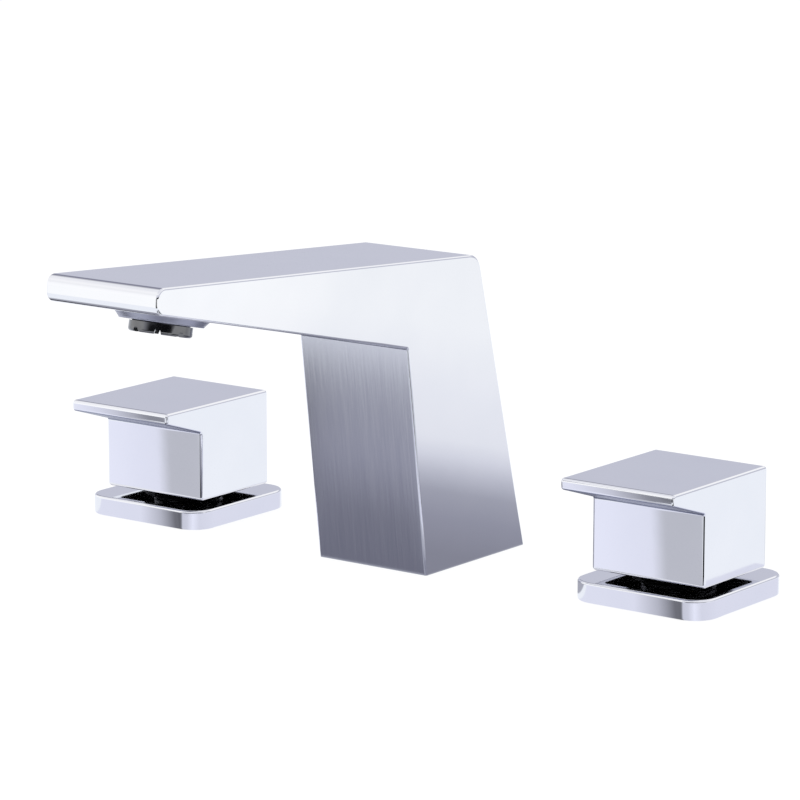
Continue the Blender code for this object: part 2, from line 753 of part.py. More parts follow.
def handle_corners():
    """The handle seen from the +X side, as (y, z), counter-clockwise from the block's front foot."""
    half = HANDLE_DEPTH / 2
    lip = -half - HANDLE_LIP
    return [
        Vector((-half, BLOCK_BOTTOM)),
        Vector((half, BLOCK_BOTTOM)),
        Vector((half, HANDLE_TOP)),
        Vector((lip, HANDLE_TOP)),
        Vector((lip, HANDLE_TOP - LIP_TIP_THICKNESS)),
        Vector((-half, HANDLE_TOP - LIP_ROOT_THICKNESS)),
    ]


def handle(name, parent):
    corners = handle_corners()
    radii = [HANDLE_CORNER_RADIUS] * len(corners)
    body = solid(name, side_profiled(corners, radii, None, HANDLE_WIDTH, HANDLE_EDGE_RADIUS))
    cavity_width = HANDLE_WIDTH - 2 * HANDLE_WALL
    cavity_depth = HANDLE_DEPTH - 2 * HANDLE_WALL
    cavity_top = HANDLE_TOP - HANDLE_ROOF
    outline = rounded_rectangle(cavity_width, cavity_depth, HANDLE_CAVITY_CORNER)
    cavity = solid("cavity", prism(outline, BLOCK_BOTTOM - OVERRUN, cavity_top))
    hub_bore = ADAPTER_RADIUS + FIT
    hub = rod(hub_bore + HUB_WALL, ADAPTER_BOTTOM, cavity_top + OVERRUN)
    screw_height = ADAPTER_TOP - SCREW_BELOW_ADAPTER_TOP
    screw_start = (0.0, 0.0, screw_height)
    boss_reach = HANDLE_DEPTH / 2 - HANDLE_WALL / 2
    screw_boss = turn_to(rod(SCREW_BOSS_RADIUS, 0.0, boss_reach, BORE_SIDES), (0, 1, 0), screw_start)
    cut(cavity, solid("hub", hub), solid("screw_boss", screw_boss))
    adapter_hole = rod(hub_bore, ADAPTER_BOTTOM - OVERRUN, ADAPTER_TOP + FIT)
    hole_reach = HANDLE_DEPTH / 2 + OVERRUN
    screw_hole = turn_to(rod(SCREW_RADIUS + FIT, 0.0, hole_reach, BORE_SIDES), (0, 1, 0), screw_start)
    cut(body, cavity, solid("adapter_hole", adapter_hole), solid("screw_hole", screw_hole))
    return dress(body, "chrome", parent)


def set_screw(name, parent):
    """The grub screw that clamps the handle to its adapter, reached through the back wall."""
    screw_start = (0.0, 0.0, ADAPTER_TOP - SCREW_BELOW_ADAPTER_TOP)
    end = HANDLE_DEPTH / 2 - SCREW_SUNK
    screw_rod = rod(SCREW_RADIUS, ADAPTER_RADIUS + FIT, end, BORE_SIDES)
    screw = solid(name, turn_to(screw_rod, (0, 1, 0), screw_start))
    socket = prism(hexagon(SCREW_SOCKET_FLATS), end - SCREW_SOCKET_DEPTH, end + OVERRUN)
    cut(screw, solid("socket", turn_to(socket, (0, 1, 0), screw_start)))
    return dress(screw, "steel", parent)


def spline_outline(tip_radius, root_radius):
    """Teeth with flat lands at their tips and roots, and straight flanks between."""
    outline = []
    pitch = 360.0 / SPLINE_TEETH
    land = pitch * SPLINE_LAND_SHARE
    for k in range(SPLINE_TEETH):
        outline += arc((0.0, 0.0), tip_radius, pitch * k - land / 2, land, 1)
        outline += arc((0.0, 0.0), root_radius, pitch * (k + 1 / 2) - land / 2, land, 1)
    return outline


def spline_adapter(name, parent):
    """The insert between the stem's splines and the handle's hub."""
    adapter = solid(name, rod(ADAPTER_RADIUS, ADAPTER_BOTTOM, ADAPTER_TOP))
    tip = SPLINE_TIP_RADIUS + FIT
    bore = prism(spline_outline(tip, tip - SPLINE_DEPTH), ADAPTER_BOTTOM - OVERRUN, STEM_TOP + FIT)
    cut(adapter, solid("bore", bore))
    return dress(adapter, "white_plastic", parent)


def stem(name, ring_name, parent):
    """The splined stem, with its stop lug at the top and the tang that drives the moving disc."""
    groove_low = SHOULDER + STEM_RING_RISE
    groove_high = groove_low + RING_GROOVE_HEIGHT
    groove_radius = STEM_RADIUS - RING_GROOVE_DEPTH
    root = SPLINE_TIP_RADIUS - SPLINE_DEPTH
    lug_top = STOP_TOP - FIT
    profile = [
        (0.0, STEM_FLANGE_BOTTOM),
        (DISC_RADIUS, STEM_FLANGE_BOTTOM),
        (DISC_RADIUS, STEM_FLANGE_BOTTOM + STEM_FLANGE),
        (STEM_RADIUS, STEM_FLANGE_BOTTOM + STEM_FLANGE),
        (STEM_RADIUS, groove_low),
        (groove_radius, groove_low),
        (groove_radius, groove_high),
        (STEM_RADIUS, groove_high),
        (STEM_RADIUS, lug_top),
        (root - FIT, lug_top),
        (root - FIT, STEM_TOP - FIT),
        (0.0, STEM_TOP - FIT),
    ]
    body = solid(name, turned(profile))
    spline = prism(spline_outline(SPLINE_TIP_RADIUS, root), SPLINE_BOTTOM, STEM_TOP)
    lug_radius = BONNET_NECK_RADIUS - FIT
    lug = sector(STEM_RADIUS / 2, lug_radius, CLOSED_ANGLE, LUG_SWEEP, LUG_BOTTOM, lug_top)
    tang_outline = rounded_rectangle(TANG_LENGTH - 2 * FIT, TANG_WIDTH - 2 * FIT, TANG_CORNER, 1)
    tang = prism(tang_outline, MOVING_DISC_TOP - TANG_DEPTH + FIT, STEM_FLANGE_BOTTOM + STEM_FLANGE / 2)
    join(body, solid("spline", spline), solid("lug", lug), solid("tang", tang))
    dress(body, "brass", parent)
    room = RING_GROOVE_DEPTH + FIT
    ring = seal_ring(groove_radius + room / 2, room / 2 - FIT / 2, (groove_low + groove_high) / 2)
    dress(solid(ring_name, ring), "rubber", parent)


def moving_disc(name, parent):
    """The upper ceramic disc: two vanes that cover the fixed disc's ports when closed."""
    outer = DISC_RADIUS + OVERRUN
    disc = solid(name, rod(DISC_RADIUS, MOVING_DISC_BOTTOM, MOVING_DISC_TOP))
    notches = []
    low = MOVING_DISC_BOTTOM - OVERRUN
    vane_top = MOVING_DISC_TOP - TANG_DEPTH
    for middle in (0.0, 180.0):
        notches.append(sector(PORT_INNER, outer, middle, PORT_SWEEP, low, vane_top))
    slot_outline = rounded_rectangle(TANG_LENGTH, TANG_WIDTH, TANG_CORNER, 1)
    slot = prism(slot_outline, vane_top, MOVING_DISC_TOP + OVERRUN)
    cut(disc, together("notches", notches), solid("slot", slot))
    return dress(disc, "ceramic", parent)


def fixed_disc(name, parent):
    """The lower ceramic disc, with two ports, held by two tabs in the sleeve's slots."""
    disc = solid(name, rod(DISC_RADIUS, FIXED_DISC_BOTTOM, FIXED_DISC_TOP))
    key_outline = key_bar(DISC_KEY_WIDTH - 2 * FIT, SLEEVE_RADIUS)
    join(disc, solid("key", prism(key_outline, FIXED_DISC_BOTTOM, FIXED_DISC_TOP)))
    ports = []
    for middle in (90.0, 270.0):
        low = FIXED_DISC_BOTTOM - OVERRUN
        high = FIXED_DISC_TOP + OVERRUN
        ports.append(sector(PORT_INNER, DISC_RADIUS - PORT_OUTER_WALL, middle, PORT_SWEEP, low, high))
    cut(disc, together("ports", ports))
    return dress(disc, "ceramic", parent)


def key_bar(width, reach):
    return [(reach, -width / 2), (reach, width / 2), (-reach, width / 2), (-reach, -width / 2)]


def cartridge(name, turn, parent):
    """The brass bonnet and sleeve that hold the discs and stop the stem a quarter turn apart."""
    hex_top = BONNET_HEX_BOTTOM + BONNET_HEX_HEIGHT
    bonnet_radius = CARTRIDGE_BORE - FIT
    groove_low = BONNET_THREAD_BOTTOM + BONNET_RING_RISE
    groove_high = groove_low + RING_GROOVE_HEIGHT
    stop_bore = BONNET_NECK_RADIUS - STOP_WALL
    profile = [
        (SLEEVE_BORE, SEAT_SEAL_BOTTOM + FIT),
        (SLEEVE_RADIUS, SEAT_SEAL_BOTTOM + FIT),
        (SLEEVE_RADIUS, BONNET_THREAD_BOTTOM),
        (bonnet_radius, BONNET_THREAD_BOTTOM),
        (bonnet_radius, groove_low),
        (bonnet_radius - RING_GROOVE_DEPTH, groove_low),
        (bonnet_radius - RING_GROOVE_DEPTH, groove_high),
        (bonnet_radius, groove_high),
        (bonnet_radius, BONNET_HEX_BOTTOM + BONNET_HEX_HEIGHT / 2),
        (BONNET_NECK_RADIUS, BONNET_HEX_BOTTOM + BONNET_HEX_HEIGHT / 2),
        (BONNET_NECK_RADIUS, STOP_TOP),
        (stop_bore, STOP_TOP),
        (stop_bore, BONNET_TOP),
        (STEM_BORE, BONNET_TOP),
        (STEM_BORE, SHOULDER),
        (SLEEVE_BORE, SHOULDER),
    ]
    body = solid(name, turned(profile))
    hex_ring = solid("hex", prism(hexagon(BONNET_FLATS), BONNET_HEX_BOTTOM, hex_top))
    hex_bore = rod((STEM_BORE + BONNET_NECK_RADIUS) / 2, BONNET_HEX_BOTTOM - OVERRUN, hex_top + OVERRUN)
    cut(hex_ring, solid("hex_bore", hex_bore))
    join(body, hex_ring)
    window_sweep = HANDLE_TRAVEL + LUG_SWEEP + 2 * LUG_PLAY
    window_middle = CLOSED_ANGLE + turn * HANDLE_TRAVEL / 2
    window_reach = BONNET_NECK_RADIUS + OVERRUN
    window_top = STOP_TOP + OVERRUN
    windows = [sector(STEM_BORE / 2, window_reach, window_middle, window_sweep, BONNET_TOP, window_top)]
    for middle in (90.0, 270.0):
        window = sector(
            SLEEVE_BORE - SLEEVE_WALL,
            SLEEVE_RADIUS + OVERRUN,
            middle,
            SLEEVE_WINDOW_SWEEP,
            MOVING_DISC_BOTTOM,
            STEM_FLANGE_BOTTOM,
        )
        windows.append(window)
    key_outline = key_bar(DISC_KEY_WIDTH, SLEEVE_RADIUS + OVERRUN)
    slots = prism(key_outline, SEAT_SEAL_BOTTOM - OVERRUN, FIXED_DISC_TOP + FIT)
    cut(body, together("windows", windows), solid("slots", slots))
    return dress(body, "brass", parent)


def cartridge_o_ring(name, parent):
    groove_radius = CARTRIDGE_BORE - FIT - RING_GROOVE_DEPTH
    room = RING_GROOVE_DEPTH + FIT
    middle = BONNET_THREAD_BOTTOM + BONNET_RING_RISE + RING_GROOVE_HEIGHT / 2
    ring = seal_ring(groove_radius + room / 2, room / 2 - FIT / 2, middle)
    return dress(solid(name, ring), "rubber", parent)


def valve_body(name, turn, parent):
    """The brass body: a feed up its middle to the seat, and a return beside it to the side outlet."""
    seat_radius = FEED_RADIUS + SEAT_BOSS_WALL
    inlet_bottom = VALVE_HUB_BOTTOM - VALVE_INLET_LENGTH
    profile = [
        (FEED_RADIUS, SEAT),
        (seat_radius, SEAT),
        (seat_radius, CHAMBER_FLOOR),
        (CARTRIDGE_BORE, CHAMBER_FLOOR),
        (CARTRIDGE_BORE, VALVE_TOP),
        (VALVE_RADIUS, VALVE_TOP),
        (VALVE_RADIUS, VALVE_HUB_TOP),
        (VALVE_HUB_RADIUS, VALVE_HUB_TOP),
        (VALVE_HUB_RADIUS, VALVE_HUB_BOTTOM),
        (VALVE_INLET_RADIUS, VALVE_HUB_BOTTOM),
        (VALVE_INLET_RADIUS, inlet_bottom),
        (VALVE_INLET_BORE, inlet_bottom),
        (VALVE_INLET_BORE, VALVE_HUB_BOTTOM),
        (FEED_RADIUS, VALVE_HUB_BOTTOM + VALVE_INLET_BORE - FEED_RADIUS),
    ]
    body = solid(name, turned(profile))
    start = (0.0, 0.0, SIDE_OUTLET_HEIGHT)
    heading = (turn, 0, 0)
    nipple = turn_to(rod(SIDE_OUTLET_RADIUS, VALVE_RADIUS, SIDE_OUTLET_REACH), heading, start)
    join(body, solid("nipple", nipple))
    return_inner = seat_radius + RETURN_WALL
    return_outer = CARTRIDGE_BORE - RETURN_WALL
    middle = 0.0 if turn > 0 else 180.0
    return_bottom = SIDE_OUTLET_HEIGHT - SIDE_OUTLET_BORE / 2
    return_top = CHAMBER_FLOOR + OVERRUN
    channel = sector(return_inner, return_outer, middle, RETURN_SWEEP, return_bottom, return_top)
    cross_start = (return_inner + return_outer) / 2
    cross_end = SIDE_OUTLET_REACH + OVERRUN
    cross = turn_to(rod(SIDE_OUTLET_BORE, cross_start, cross_end, BORE_SIDES), heading, start)
    cut(body, solid("channel", channel), solid("cross", cross))
    return dress(body, "brass", parent)


def escutcheon(name, parent):
    rings = [at_height(rounded_rectangle(PLATE_SIDE, PLATE_SIDE, PLATE_CORNER, 2 * ARC_STEPS), 0.0)]
    for k in range(ARC_STEPS + 1):
        angle = math.radians(90.0 * k / ARC_STEPS)
        inset = PLATE_EDGE_RADIUS * (1 - math.cos(angle))
        height = PLATE_THICKNESS - PLATE_EDGE_RADIUS * (1 - math.sin(angle))
        side = PLATE_SIDE - 2 * inset
        rings.append(at_height(rounded_rectangle(side, side, PLATE_CORNER - inset, 2 * ARC_STEPS), height))
    plate = solid(name, loft(rings))
    recess_side = PLATE_SIDE - 2 * PLATE_RIM
    recess_outline = rounded_rectangle(recess_side, recess_side, PLATE_CORNER - PLATE_RIM)
    recess = prism(recess_outline, -OVERRUN, PLATE_RECESS)
    nut_seat = RING_NUT_BOTTOM - FIT
    nut_reach = VALVE_RADIUS + FIT + RING_NUT_WIDTH + FIT
    bore = [
        (0.0, -OVERRUN),
        (VALVE_RADIUS + FIT, -OVERRUN),
        (VALVE_RADIUS + FIT, nut_seat),
        (nut_reach, nut_seat),
        (nut_reach, PLATE_THICKNESS + OVERRUN),
        (0.0, PLATE_THICKNESS + OVERRUN),
    ]
    cut(plate, solid("recess", recess), solid("bore", turned(bore)))
    return dress(plate, "chrome", parent)


def escutcheon_gasket(name, parent):
    side = PLATE_SIDE - 2 * PLATE_RIM - 2 * FIT
    corner = PLATE_CORNER - PLATE_RIM - FIT
    inner_side = side - 2 * PLATE_GASKET_WIDTH
    outer = rounded_rectangle(side, side, corner)
    inner = rounded_rectangle(inner_side, inner_side, corner - PLATE_GASKET_WIDTH / 2)
    gasket = outline_ring(outer, inner, 0.0, PLATE_RECESS - FIT)
    return dress(solid(name, gasket), "rubber", parent)


def escutcheon_nut(name, parent):
    """The thin ring nut, sunk in the escutcheon under the handle, that draws the plate down."""
    inner = VALVE_RADIUS + FIT
    outer = inner + RING_NUT_WIDTH
    nut = solid(name, tube(inner, outer, RING_NUT_BOTTOM, RING_NUT_TOP))
    notches = []
    near = inner + RING_NUT_WIDTH / 2
    far = outer + OVERRUN
    half = RING_NUT_NOTCH / 2
    for side in (-1, 1):
        outline = [(side * near, -half), (side * far, -half), (side * far, half), (side * near, half)]
        notches.append(prism(outline, RING_NUT_TOP - RING_NUT_HEIGHT / 2, RING_NUT_TOP + OVERRUN))
    cut(nut, together("notches", notches))
    return dress(nut, "plastic", parent)


def valve_set(side, turn, position):
    """One valve with its escutcheon and handle; turn is +1 where it opens counter-clockwise."""
    fixed = empty(side + "_valve_axis", position)
    moving = empty(side + "_handle_axis", position)
    valve_body(side + "_valve_body", turn, fixed)
    cartridge(side + "_cartridge", turn, fixed)
    cartridge_o_ring(side + "_cartridge_o_ring", fixed)
    fixed_disc(side + "_fixed_disc", fixed)
    seal = tube(FEED_RADIUS, DISC_RADIUS, SEAT_SEAL_BOTTOM, SEAT_SEAL_TOP, BORE_SIDES)
    dress(solid(side + "_seat_seal", seal), "rubber", fixed)
    escutcheon(side + "_escutcheon", fixed)
    escutcheon_gasket(side + "_escutcheon_gasket", fixed)
    escutcheon_nut(side + "_escutcheon_nut", fixed)
    deck_clamp(side, VALVE_RADIUS, VALVE_WASHER_RADIUS, VALVE_NUT_FLATS, fixed)
    moving_disc(side + "_moving_disc", moving)
    stem(side + "_stem", side + "_stem_o_ring", moving)
    spline_adapter(side + "_spline_adapter", moving)
    handle(side + "_handle", moving)
    set_screw(side + "_set_screw", moving)


def spout_set():
    axis = empty("spout_axis", (0.0, 0.0, 0.0))
    origin, tilt = outlet_frame()
    outlet = empty("outlet_axis", origin, (tilt, 0.0, 0.0), axis)
    spout_body(axis)
    aerator(outlet)
    dress(solid("spout_gasket", gasket_ring(0.0, 0.0, GASKET_HEIGHT)), "rubber", axis)
    spout_shank(axis)
    deck_clamp("spout", SHANK_RADIUS, SPOUT_WASHER_RADIUS, SPOUT_NUT_FLATS, axis)
    spout_tee(axis)


def main():
    clear_scene()
    spout_set()
    valve_set("hot", 1, (-VALVE_CENTRES / 2, 0.0, 0.0))
    valve_set("cold", -1, (VALVE_CENTRES / 2, 0.0, 0.0))
    bpy.context.view_layer.update()


main()
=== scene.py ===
import json
import math

import bmesh
import bpy
from mathutils import Matrix, Vector

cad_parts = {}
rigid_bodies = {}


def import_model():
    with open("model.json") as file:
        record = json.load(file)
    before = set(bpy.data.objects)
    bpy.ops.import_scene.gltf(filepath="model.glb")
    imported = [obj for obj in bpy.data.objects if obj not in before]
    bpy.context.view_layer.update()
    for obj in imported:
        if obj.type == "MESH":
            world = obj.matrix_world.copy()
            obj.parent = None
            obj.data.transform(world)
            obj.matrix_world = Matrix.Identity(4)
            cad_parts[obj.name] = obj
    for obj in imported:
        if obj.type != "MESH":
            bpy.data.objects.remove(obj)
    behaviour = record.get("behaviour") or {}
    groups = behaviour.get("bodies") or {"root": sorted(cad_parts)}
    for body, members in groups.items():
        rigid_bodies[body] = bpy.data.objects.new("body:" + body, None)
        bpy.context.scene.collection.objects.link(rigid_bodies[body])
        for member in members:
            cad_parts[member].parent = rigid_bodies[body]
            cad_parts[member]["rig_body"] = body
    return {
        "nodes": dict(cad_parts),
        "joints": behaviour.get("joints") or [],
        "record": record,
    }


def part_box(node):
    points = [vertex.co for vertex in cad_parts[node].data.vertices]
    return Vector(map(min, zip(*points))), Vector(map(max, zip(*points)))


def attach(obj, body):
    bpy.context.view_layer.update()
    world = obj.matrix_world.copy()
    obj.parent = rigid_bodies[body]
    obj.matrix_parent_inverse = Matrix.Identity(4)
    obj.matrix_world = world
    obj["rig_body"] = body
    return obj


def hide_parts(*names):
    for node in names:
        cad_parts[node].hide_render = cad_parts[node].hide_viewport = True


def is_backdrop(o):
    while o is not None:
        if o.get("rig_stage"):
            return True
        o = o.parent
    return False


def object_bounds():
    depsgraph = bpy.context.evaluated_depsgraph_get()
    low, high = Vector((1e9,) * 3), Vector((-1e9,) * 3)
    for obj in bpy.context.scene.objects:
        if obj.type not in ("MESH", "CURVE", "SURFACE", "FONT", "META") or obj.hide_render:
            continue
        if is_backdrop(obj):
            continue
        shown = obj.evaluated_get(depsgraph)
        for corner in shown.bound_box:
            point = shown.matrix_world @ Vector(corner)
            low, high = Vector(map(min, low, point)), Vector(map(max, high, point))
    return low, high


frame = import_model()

cad_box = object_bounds()

# Clearances, as in the solids
FIT = 0.0003
OVERRUN = 0.0015

# Facets
EDGE_STEPS = 5
CORNER_STEPS = 8
SIDES = 72
SEAL_STEPS = 16
THREAD_STEPS = 8
THREAD_SIDES = 48
WIRE_SIDES = 6

# Where edges stay sharp, and which way a face looks by a part of its normal
SHARP_ANGLE = math.radians(30.0)
UPRIGHT = 0.3
SIDEWAYS = 0.95
DOWNWARD = -0.5

# Camera: the photograph's angle, through a long lens
CAMERA_AZIMUTH = math.radians(37.0)
CAMERA_ELEVATION = math.radians(11.5)
CAMERA_DISTANCE = 1.3333
CAMERA_RIGHT = 0.0075
CAMERA_UP = 0.0501
SENSOR = 36.0
LENS = 180.0

# Spout casting, seen from the +X side
SPOUT_LOW, SPOUT_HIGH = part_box("spout_body")
SPOUT_WIDTH = SPOUT_HIGH.x - SPOUT_LOW.x
SPOUT_BASE_DEPTH = 2 * SPOUT_HIGH.y
SPOUT_CROTCH_FORWARD = 0.0375
SPOUT_CROTCH_HEIGHT = 0.0765
SPOUT_TIP_FORWARD = 0.160
SPOUT_TIP_HEIGHT = 0.105
SPOUT_TIP_THICKNESS = 0.008
SPOUT_TIP_LEAN = 0.0005
SPOUT_SHOULDER_BACK = 0.001
SPOUT_SHOULDER_HEIGHT = 0.102
SPOUT_EDGE_RADIUS = 0.0008
SPOUT_LIP_RADIUS = 0.0032
SPOUT_SHOULDER_RADIUS = 0.006
SPOUT_CROTCH_RADIUS = 0.0007
SPOUT_WALL = 0.003
SPOUT_FLOOR = 0.012
SPOUT_NOSE = 0.014

# Outlet and aerator, along the outlet's own axis
OUTLET_BEHIND_TIP = 0.028
COLLAR_RADIUS = 0.0146
COLLAR_TAPER = 0.0014
COLLAR_HEIGHT = 0.002
COLLAR_EDGE = 0.0004
OUTLET_BOSS_WALL = 0.003
OUTLET_BOSS_HEIGHT = 0.0025
OUTLET_LEDGE = 0.0012
OUTLET_LEDGE_WIDTH = 0.0018
AERATOR_RADIUS = 0.009
AERATOR_RIM_WIDTH = 0.0008
AERATOR_RIM_HEIGHT = 0.0033
AERATOR_WALL = 0.0012
AERATOR_WASHER = 0.0012
AERATOR_STOP_WIDTH = 0.0009
AERATOR_STOP_HEIGHT = 0.0004
AERATOR_RIM_RADIUS = 0.0009
CROWN_NOTCHES = 8
CROWN_NOTCH_DEPTH = 0.0014
CROWN_NOTCH_WIDTH = 0.0030
CROWN_NOTCH_ROOT_SHARE = 0.5
CROWN_TURN = math.radians(35.0)
GRID_HEIGHT = 0.0012
GRID_HOLE_FLATS = 0.0019
GRID_HOLE_CORNER = GRID_HOLE_FLATS / 8
GRID_HOLE_STEPS = 2
GRID_PITCH = 0.0030
GRID_RINGS = 2
INSERT_HEIGHT = 0.0022
SCREEN_THICKNESS = 0.0004
SCREEN_RISE = 0.0008
SCREEN_PITCH = 0.0009
SCREEN_WIRE = 0.00014
SCREEN_RIM = 3 * SCREEN_WIRE
SCREEN_STEPS = 4

# Foot of the spout
GASKET_INSET = 0.0045
GASKET_WIDTH = 0.003
GASKET_HEIGHT = 0.0017
GASKET_CORNER = 0.0035
SHANK_RADIUS = 0.0104
SHANK_BORE = 0.006
SHANK_BELOW = 0.060
SHANK_RING_DEPTH = 0.002
SHANK_RING_HEIGHT = 0.0022
SHANK_RING_ABOVE_DECK = 0.005
SPOUT_NUT_FLATS = 0.030
TEE_RADIUS = 0.0138
TEE_SOCKET = 0.012
TEE_HEIGHT = 0.028
TEE_EDGE = 0.0008
TEE_ARM_RADIUS = 0.0072
TEE_ARM_REACH = 0.030
TEE_ARM_BORE = 0.0042
TEE_WASHER = 0.0015

# Threads as (pitch, depth), rounded at crest and root
PIPE_THREAD = (0.0018, 0.0009)
SMALL_THREAD = (0.0013, 0.0006)
SCREW_THREAD = (0.0007, 0.0003)
THREAD_START = 0.0015

# What clamps each shank and valve body to the deck
NUT_CHAMFER = 0.0008
BEVEL_ANGLE = math.radians(30.0)
SEAL_EDGE = 0.0006
WASHER_EDGE = 0.0002

# Handle, about its valve's axis
HANDLE_WIDTH = 0.0424
HANDLE_DEPTH = 0.036
HANDLE_LIP = 0.018
BLOCK_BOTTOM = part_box("hot_handle")[0].z
HANDLE_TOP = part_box("hot_handle")[1].z
LIP_TIP_THICKNESS = 0.0036
LIP_ROOT_THICKNESS = 0.0093
LIP_TIP_RADIUS = 0.0012
HANDLE_EDGE_RADIUS = 0.0009
HANDLE_CORNER_RADIUS = 0.0012
HANDLE_WALL = 0.0025
HANDLE_ROOF = 0.005
HANDLE_CAVITY_CORNER = 0.002
HUB_WALL = 0.0022
SCREW_BOSS_RADIUS = 0.0034
SCREW_RADIUS = 0.0019
ADAPTER_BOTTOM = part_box("hot_spline_adapter")[0].z
ADAPTER_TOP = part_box("hot_spline_adapter")[1].z
ADAPTER_RADIUS = 0.006
SCREW_BELOW_ADAPTER_TOP = 0.005
SCREW_ORIGIN = (0.0, 0.0, ADAPTER_TOP - SCREW_BELOW_ADAPTER_TOP)
SCREW_HEADING = (0, 1, 0)
SCREW_SUNK = 0.0057
SCREW_SOCKET_FLATS = 0.002
SCREW_SOCKET_DEPTH = 0.0018
SCREW_POINT = 0.0006

# Escutcheon
PLATE_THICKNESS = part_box("hot_escutcheon")[1].z
PLATE_SIDE = 0.0508
PLATE_CORNER = 0.0082
PLATE_EDGE_RADIUS = 0.0008
PLATE_FOOT_RADIUS = 0.0005
PLATE_RIM = 0.0022
PLATE_RECESS = 0.003
RING_NUT_WIDTH = 0.0027
RING_NUT_HEIGHT = 0.0018
RING_NUT_NOTCH = 0.002

# Valve body
VALVE_RADIUS = 0.012
VALVE_WALL = 0.0027
VALVE_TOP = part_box("hot_valve_body")[1].z
VALVE_HUB_TOP = -0.046
VALVE_HUB_RADIUS = 0.0145
VALVE_HUB_HEIGHT = 0.018
VALVE_HUB_EDGE = 0.001
VALVE_INLET_RADIUS = 0.0104
VALVE_INLET_LENGTH = 0.018
VALVE_INLET_BORE = 0.006
VALVE_NUT_FLATS = 0.032
FEED_RADIUS = 0.0036
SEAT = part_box("hot_seat_seal")[0].z - FIT
SEAT_BOSS_WALL = 0.0018
SEAT_BOSS_HEIGHT = 0.0025
RETURN_WALL = 0.0004
RETURN_SWEEP = 100.0
SIDE_OUTLET_RADIUS = 0.0085
SIDE_OUTLET_BORE = 0.0045
SIDE_OUTLET_REACH = 0.032

# Quarter-turn cartridge
DISC_RADIUS = 0.0059
DISC_KEY_WIDTH = 0.0024
SLEEVE_WALL = 0.0012
SLEEVE_WINDOW_SWEEP = 80.0
BONNET_THREAD_HEIGHT = 0.012
BONNET_FLATS = 0.019
BONNET_HEX_HEIGHT = 0.0037
BONNET_NECK_RADIUS = 0.0066
BONNET_NECK_HEIGHT = 0.0065
BONNET_CHAMFER = 0.0007
STEM_RADIUS = 0.0040
STEM_FLANGE = 0.0025
RING_GROOVE_DEPTH = 0.0013
RING_GROOVE_HEIGHT = 0.0018
BONNET_RING_RISE = 0.0015
STOP_WALL = 0.0016
LUG_SWEEP = 40.0
LUG_PLAY = 2.5
HANDLE_TRAVEL = 90.0
CLOSED_ANGLE = -90.0
CARTRIDGE_BORE = VALVE_RADIUS - VALVE_WALL


def solid(name, bm):
    bmesh.ops.recalc_face_normals(bm, faces=bm.faces)
    mesh = bpy.data.meshes.new(name)
    bm.to_mesh(mesh)
    bm.free()
    obj = bpy.data.objects.new(name, mesh)
    bpy.context.scene.collection.objects.link(obj)
    return obj


def together(shapes):
    """One shape from several separate ones."""
    whole = bmesh.new()
    for shape in shapes:
        piece = bpy.data.meshes.new("piece")
        shape.to_mesh(piece)
        shape.free()
        whole.from_mesh(piece)
        bpy.data.meshes.remove(piece)
    return whole


def combine(body, operation, tools):
    """Join tools to the body or cut them from it, in turn; each is a shape or an object."""
    tools = [tool if isinstance(tool, bpy.types.Object) else solid("tool", tool) for tool in tools]
    for tool in tools:
        boolean = body.modifiers.new(tool.name, "BOOLEAN")
        boolean.operation = operation
        boolean.object = tool
    depsgraph = bpy.context.evaluated_depsgraph_get()
    shaped = bpy.data.meshes.new_from_object(body.evaluated_get(depsgraph))
    body.modifiers.clear()
    body.data = shaped
    for tool in tools:
        bpy.data.objects.remove(tool, do_unlink=True)


def join(body, *tools):
    combine(body, "UNION", tools)


def cut(body, *tools):
    combine(body, "DIFFERENCE", tools)


def loft(rings, closed=False):
    """A solid through rings of as many points each: capped at its ends, or closed on itself."""
    bm = bmesh.new()
    loops = [[bm.verts.new(point) for point in ring] for ring in rings]
    pairs = list(zip(loops, loops[1:]))
    if closed:
        pairs.append((loops[-1], loops[0]))
    for near, far in pairs:
        for i in range(len(near)):
            j = (i + 1) % len(near)
            bm.faces.new((near[i], near[j], far[j], far[i]))
    if not closed:
        bm.faces.new(list(reversed(loops[0])))
        bm.faces.new(loops[-1])
    return bm


def at_height(outline, height):
    return [(x, y, height) for x, y in outline]


def prism(outline, low, high):
    return loft([at_height(outline, low), at_height(outline, high)])


def turned(profile, sides=SIDES):
    """A solid of revolution about Z, from a closed profile.

    Its entries are corners (radius, height) and threaded lengths (radius, start, end, thread).
    """
    corners = []
    for entry in profile:
        if len(entry) == 2:
            corners.append(entry)
            continue
        radius, start, end, thread = entry
        steps = max(1, round(abs(end - start) / thread[0] * THREAD_STEPS))
        corners += [(radius, start + (end - start) * k / steps) for k in range(steps + 1)]
    bm = bmesh.new()
    circles = []
    for radius, height in corners:
        count = sides if radius > 0 else 1
        angles = [math.tau * k / sides for k in range(count)]
        circles.append([bm.verts.new((radius * math.cos(a), radius * math.sin(a), height)) for a in angles])
    for circle, following in zip(circles, circles[1:] + circles[:1]):
        if len(circle) == 1 and len(following) == 1:
            continue
        for k in range(sides):
            around = [circle[k % len(circle)], circle[(k + 1) % len(circle)]]
            around += [following[(k + 1) % len(following)], following[k % len(following)]]
            bm.faces.new(list(dict.fromkeys(around)))
    for entry in profile:
        if len(entry) > 2:
            sink_thread(bm, *entry)
    return bm


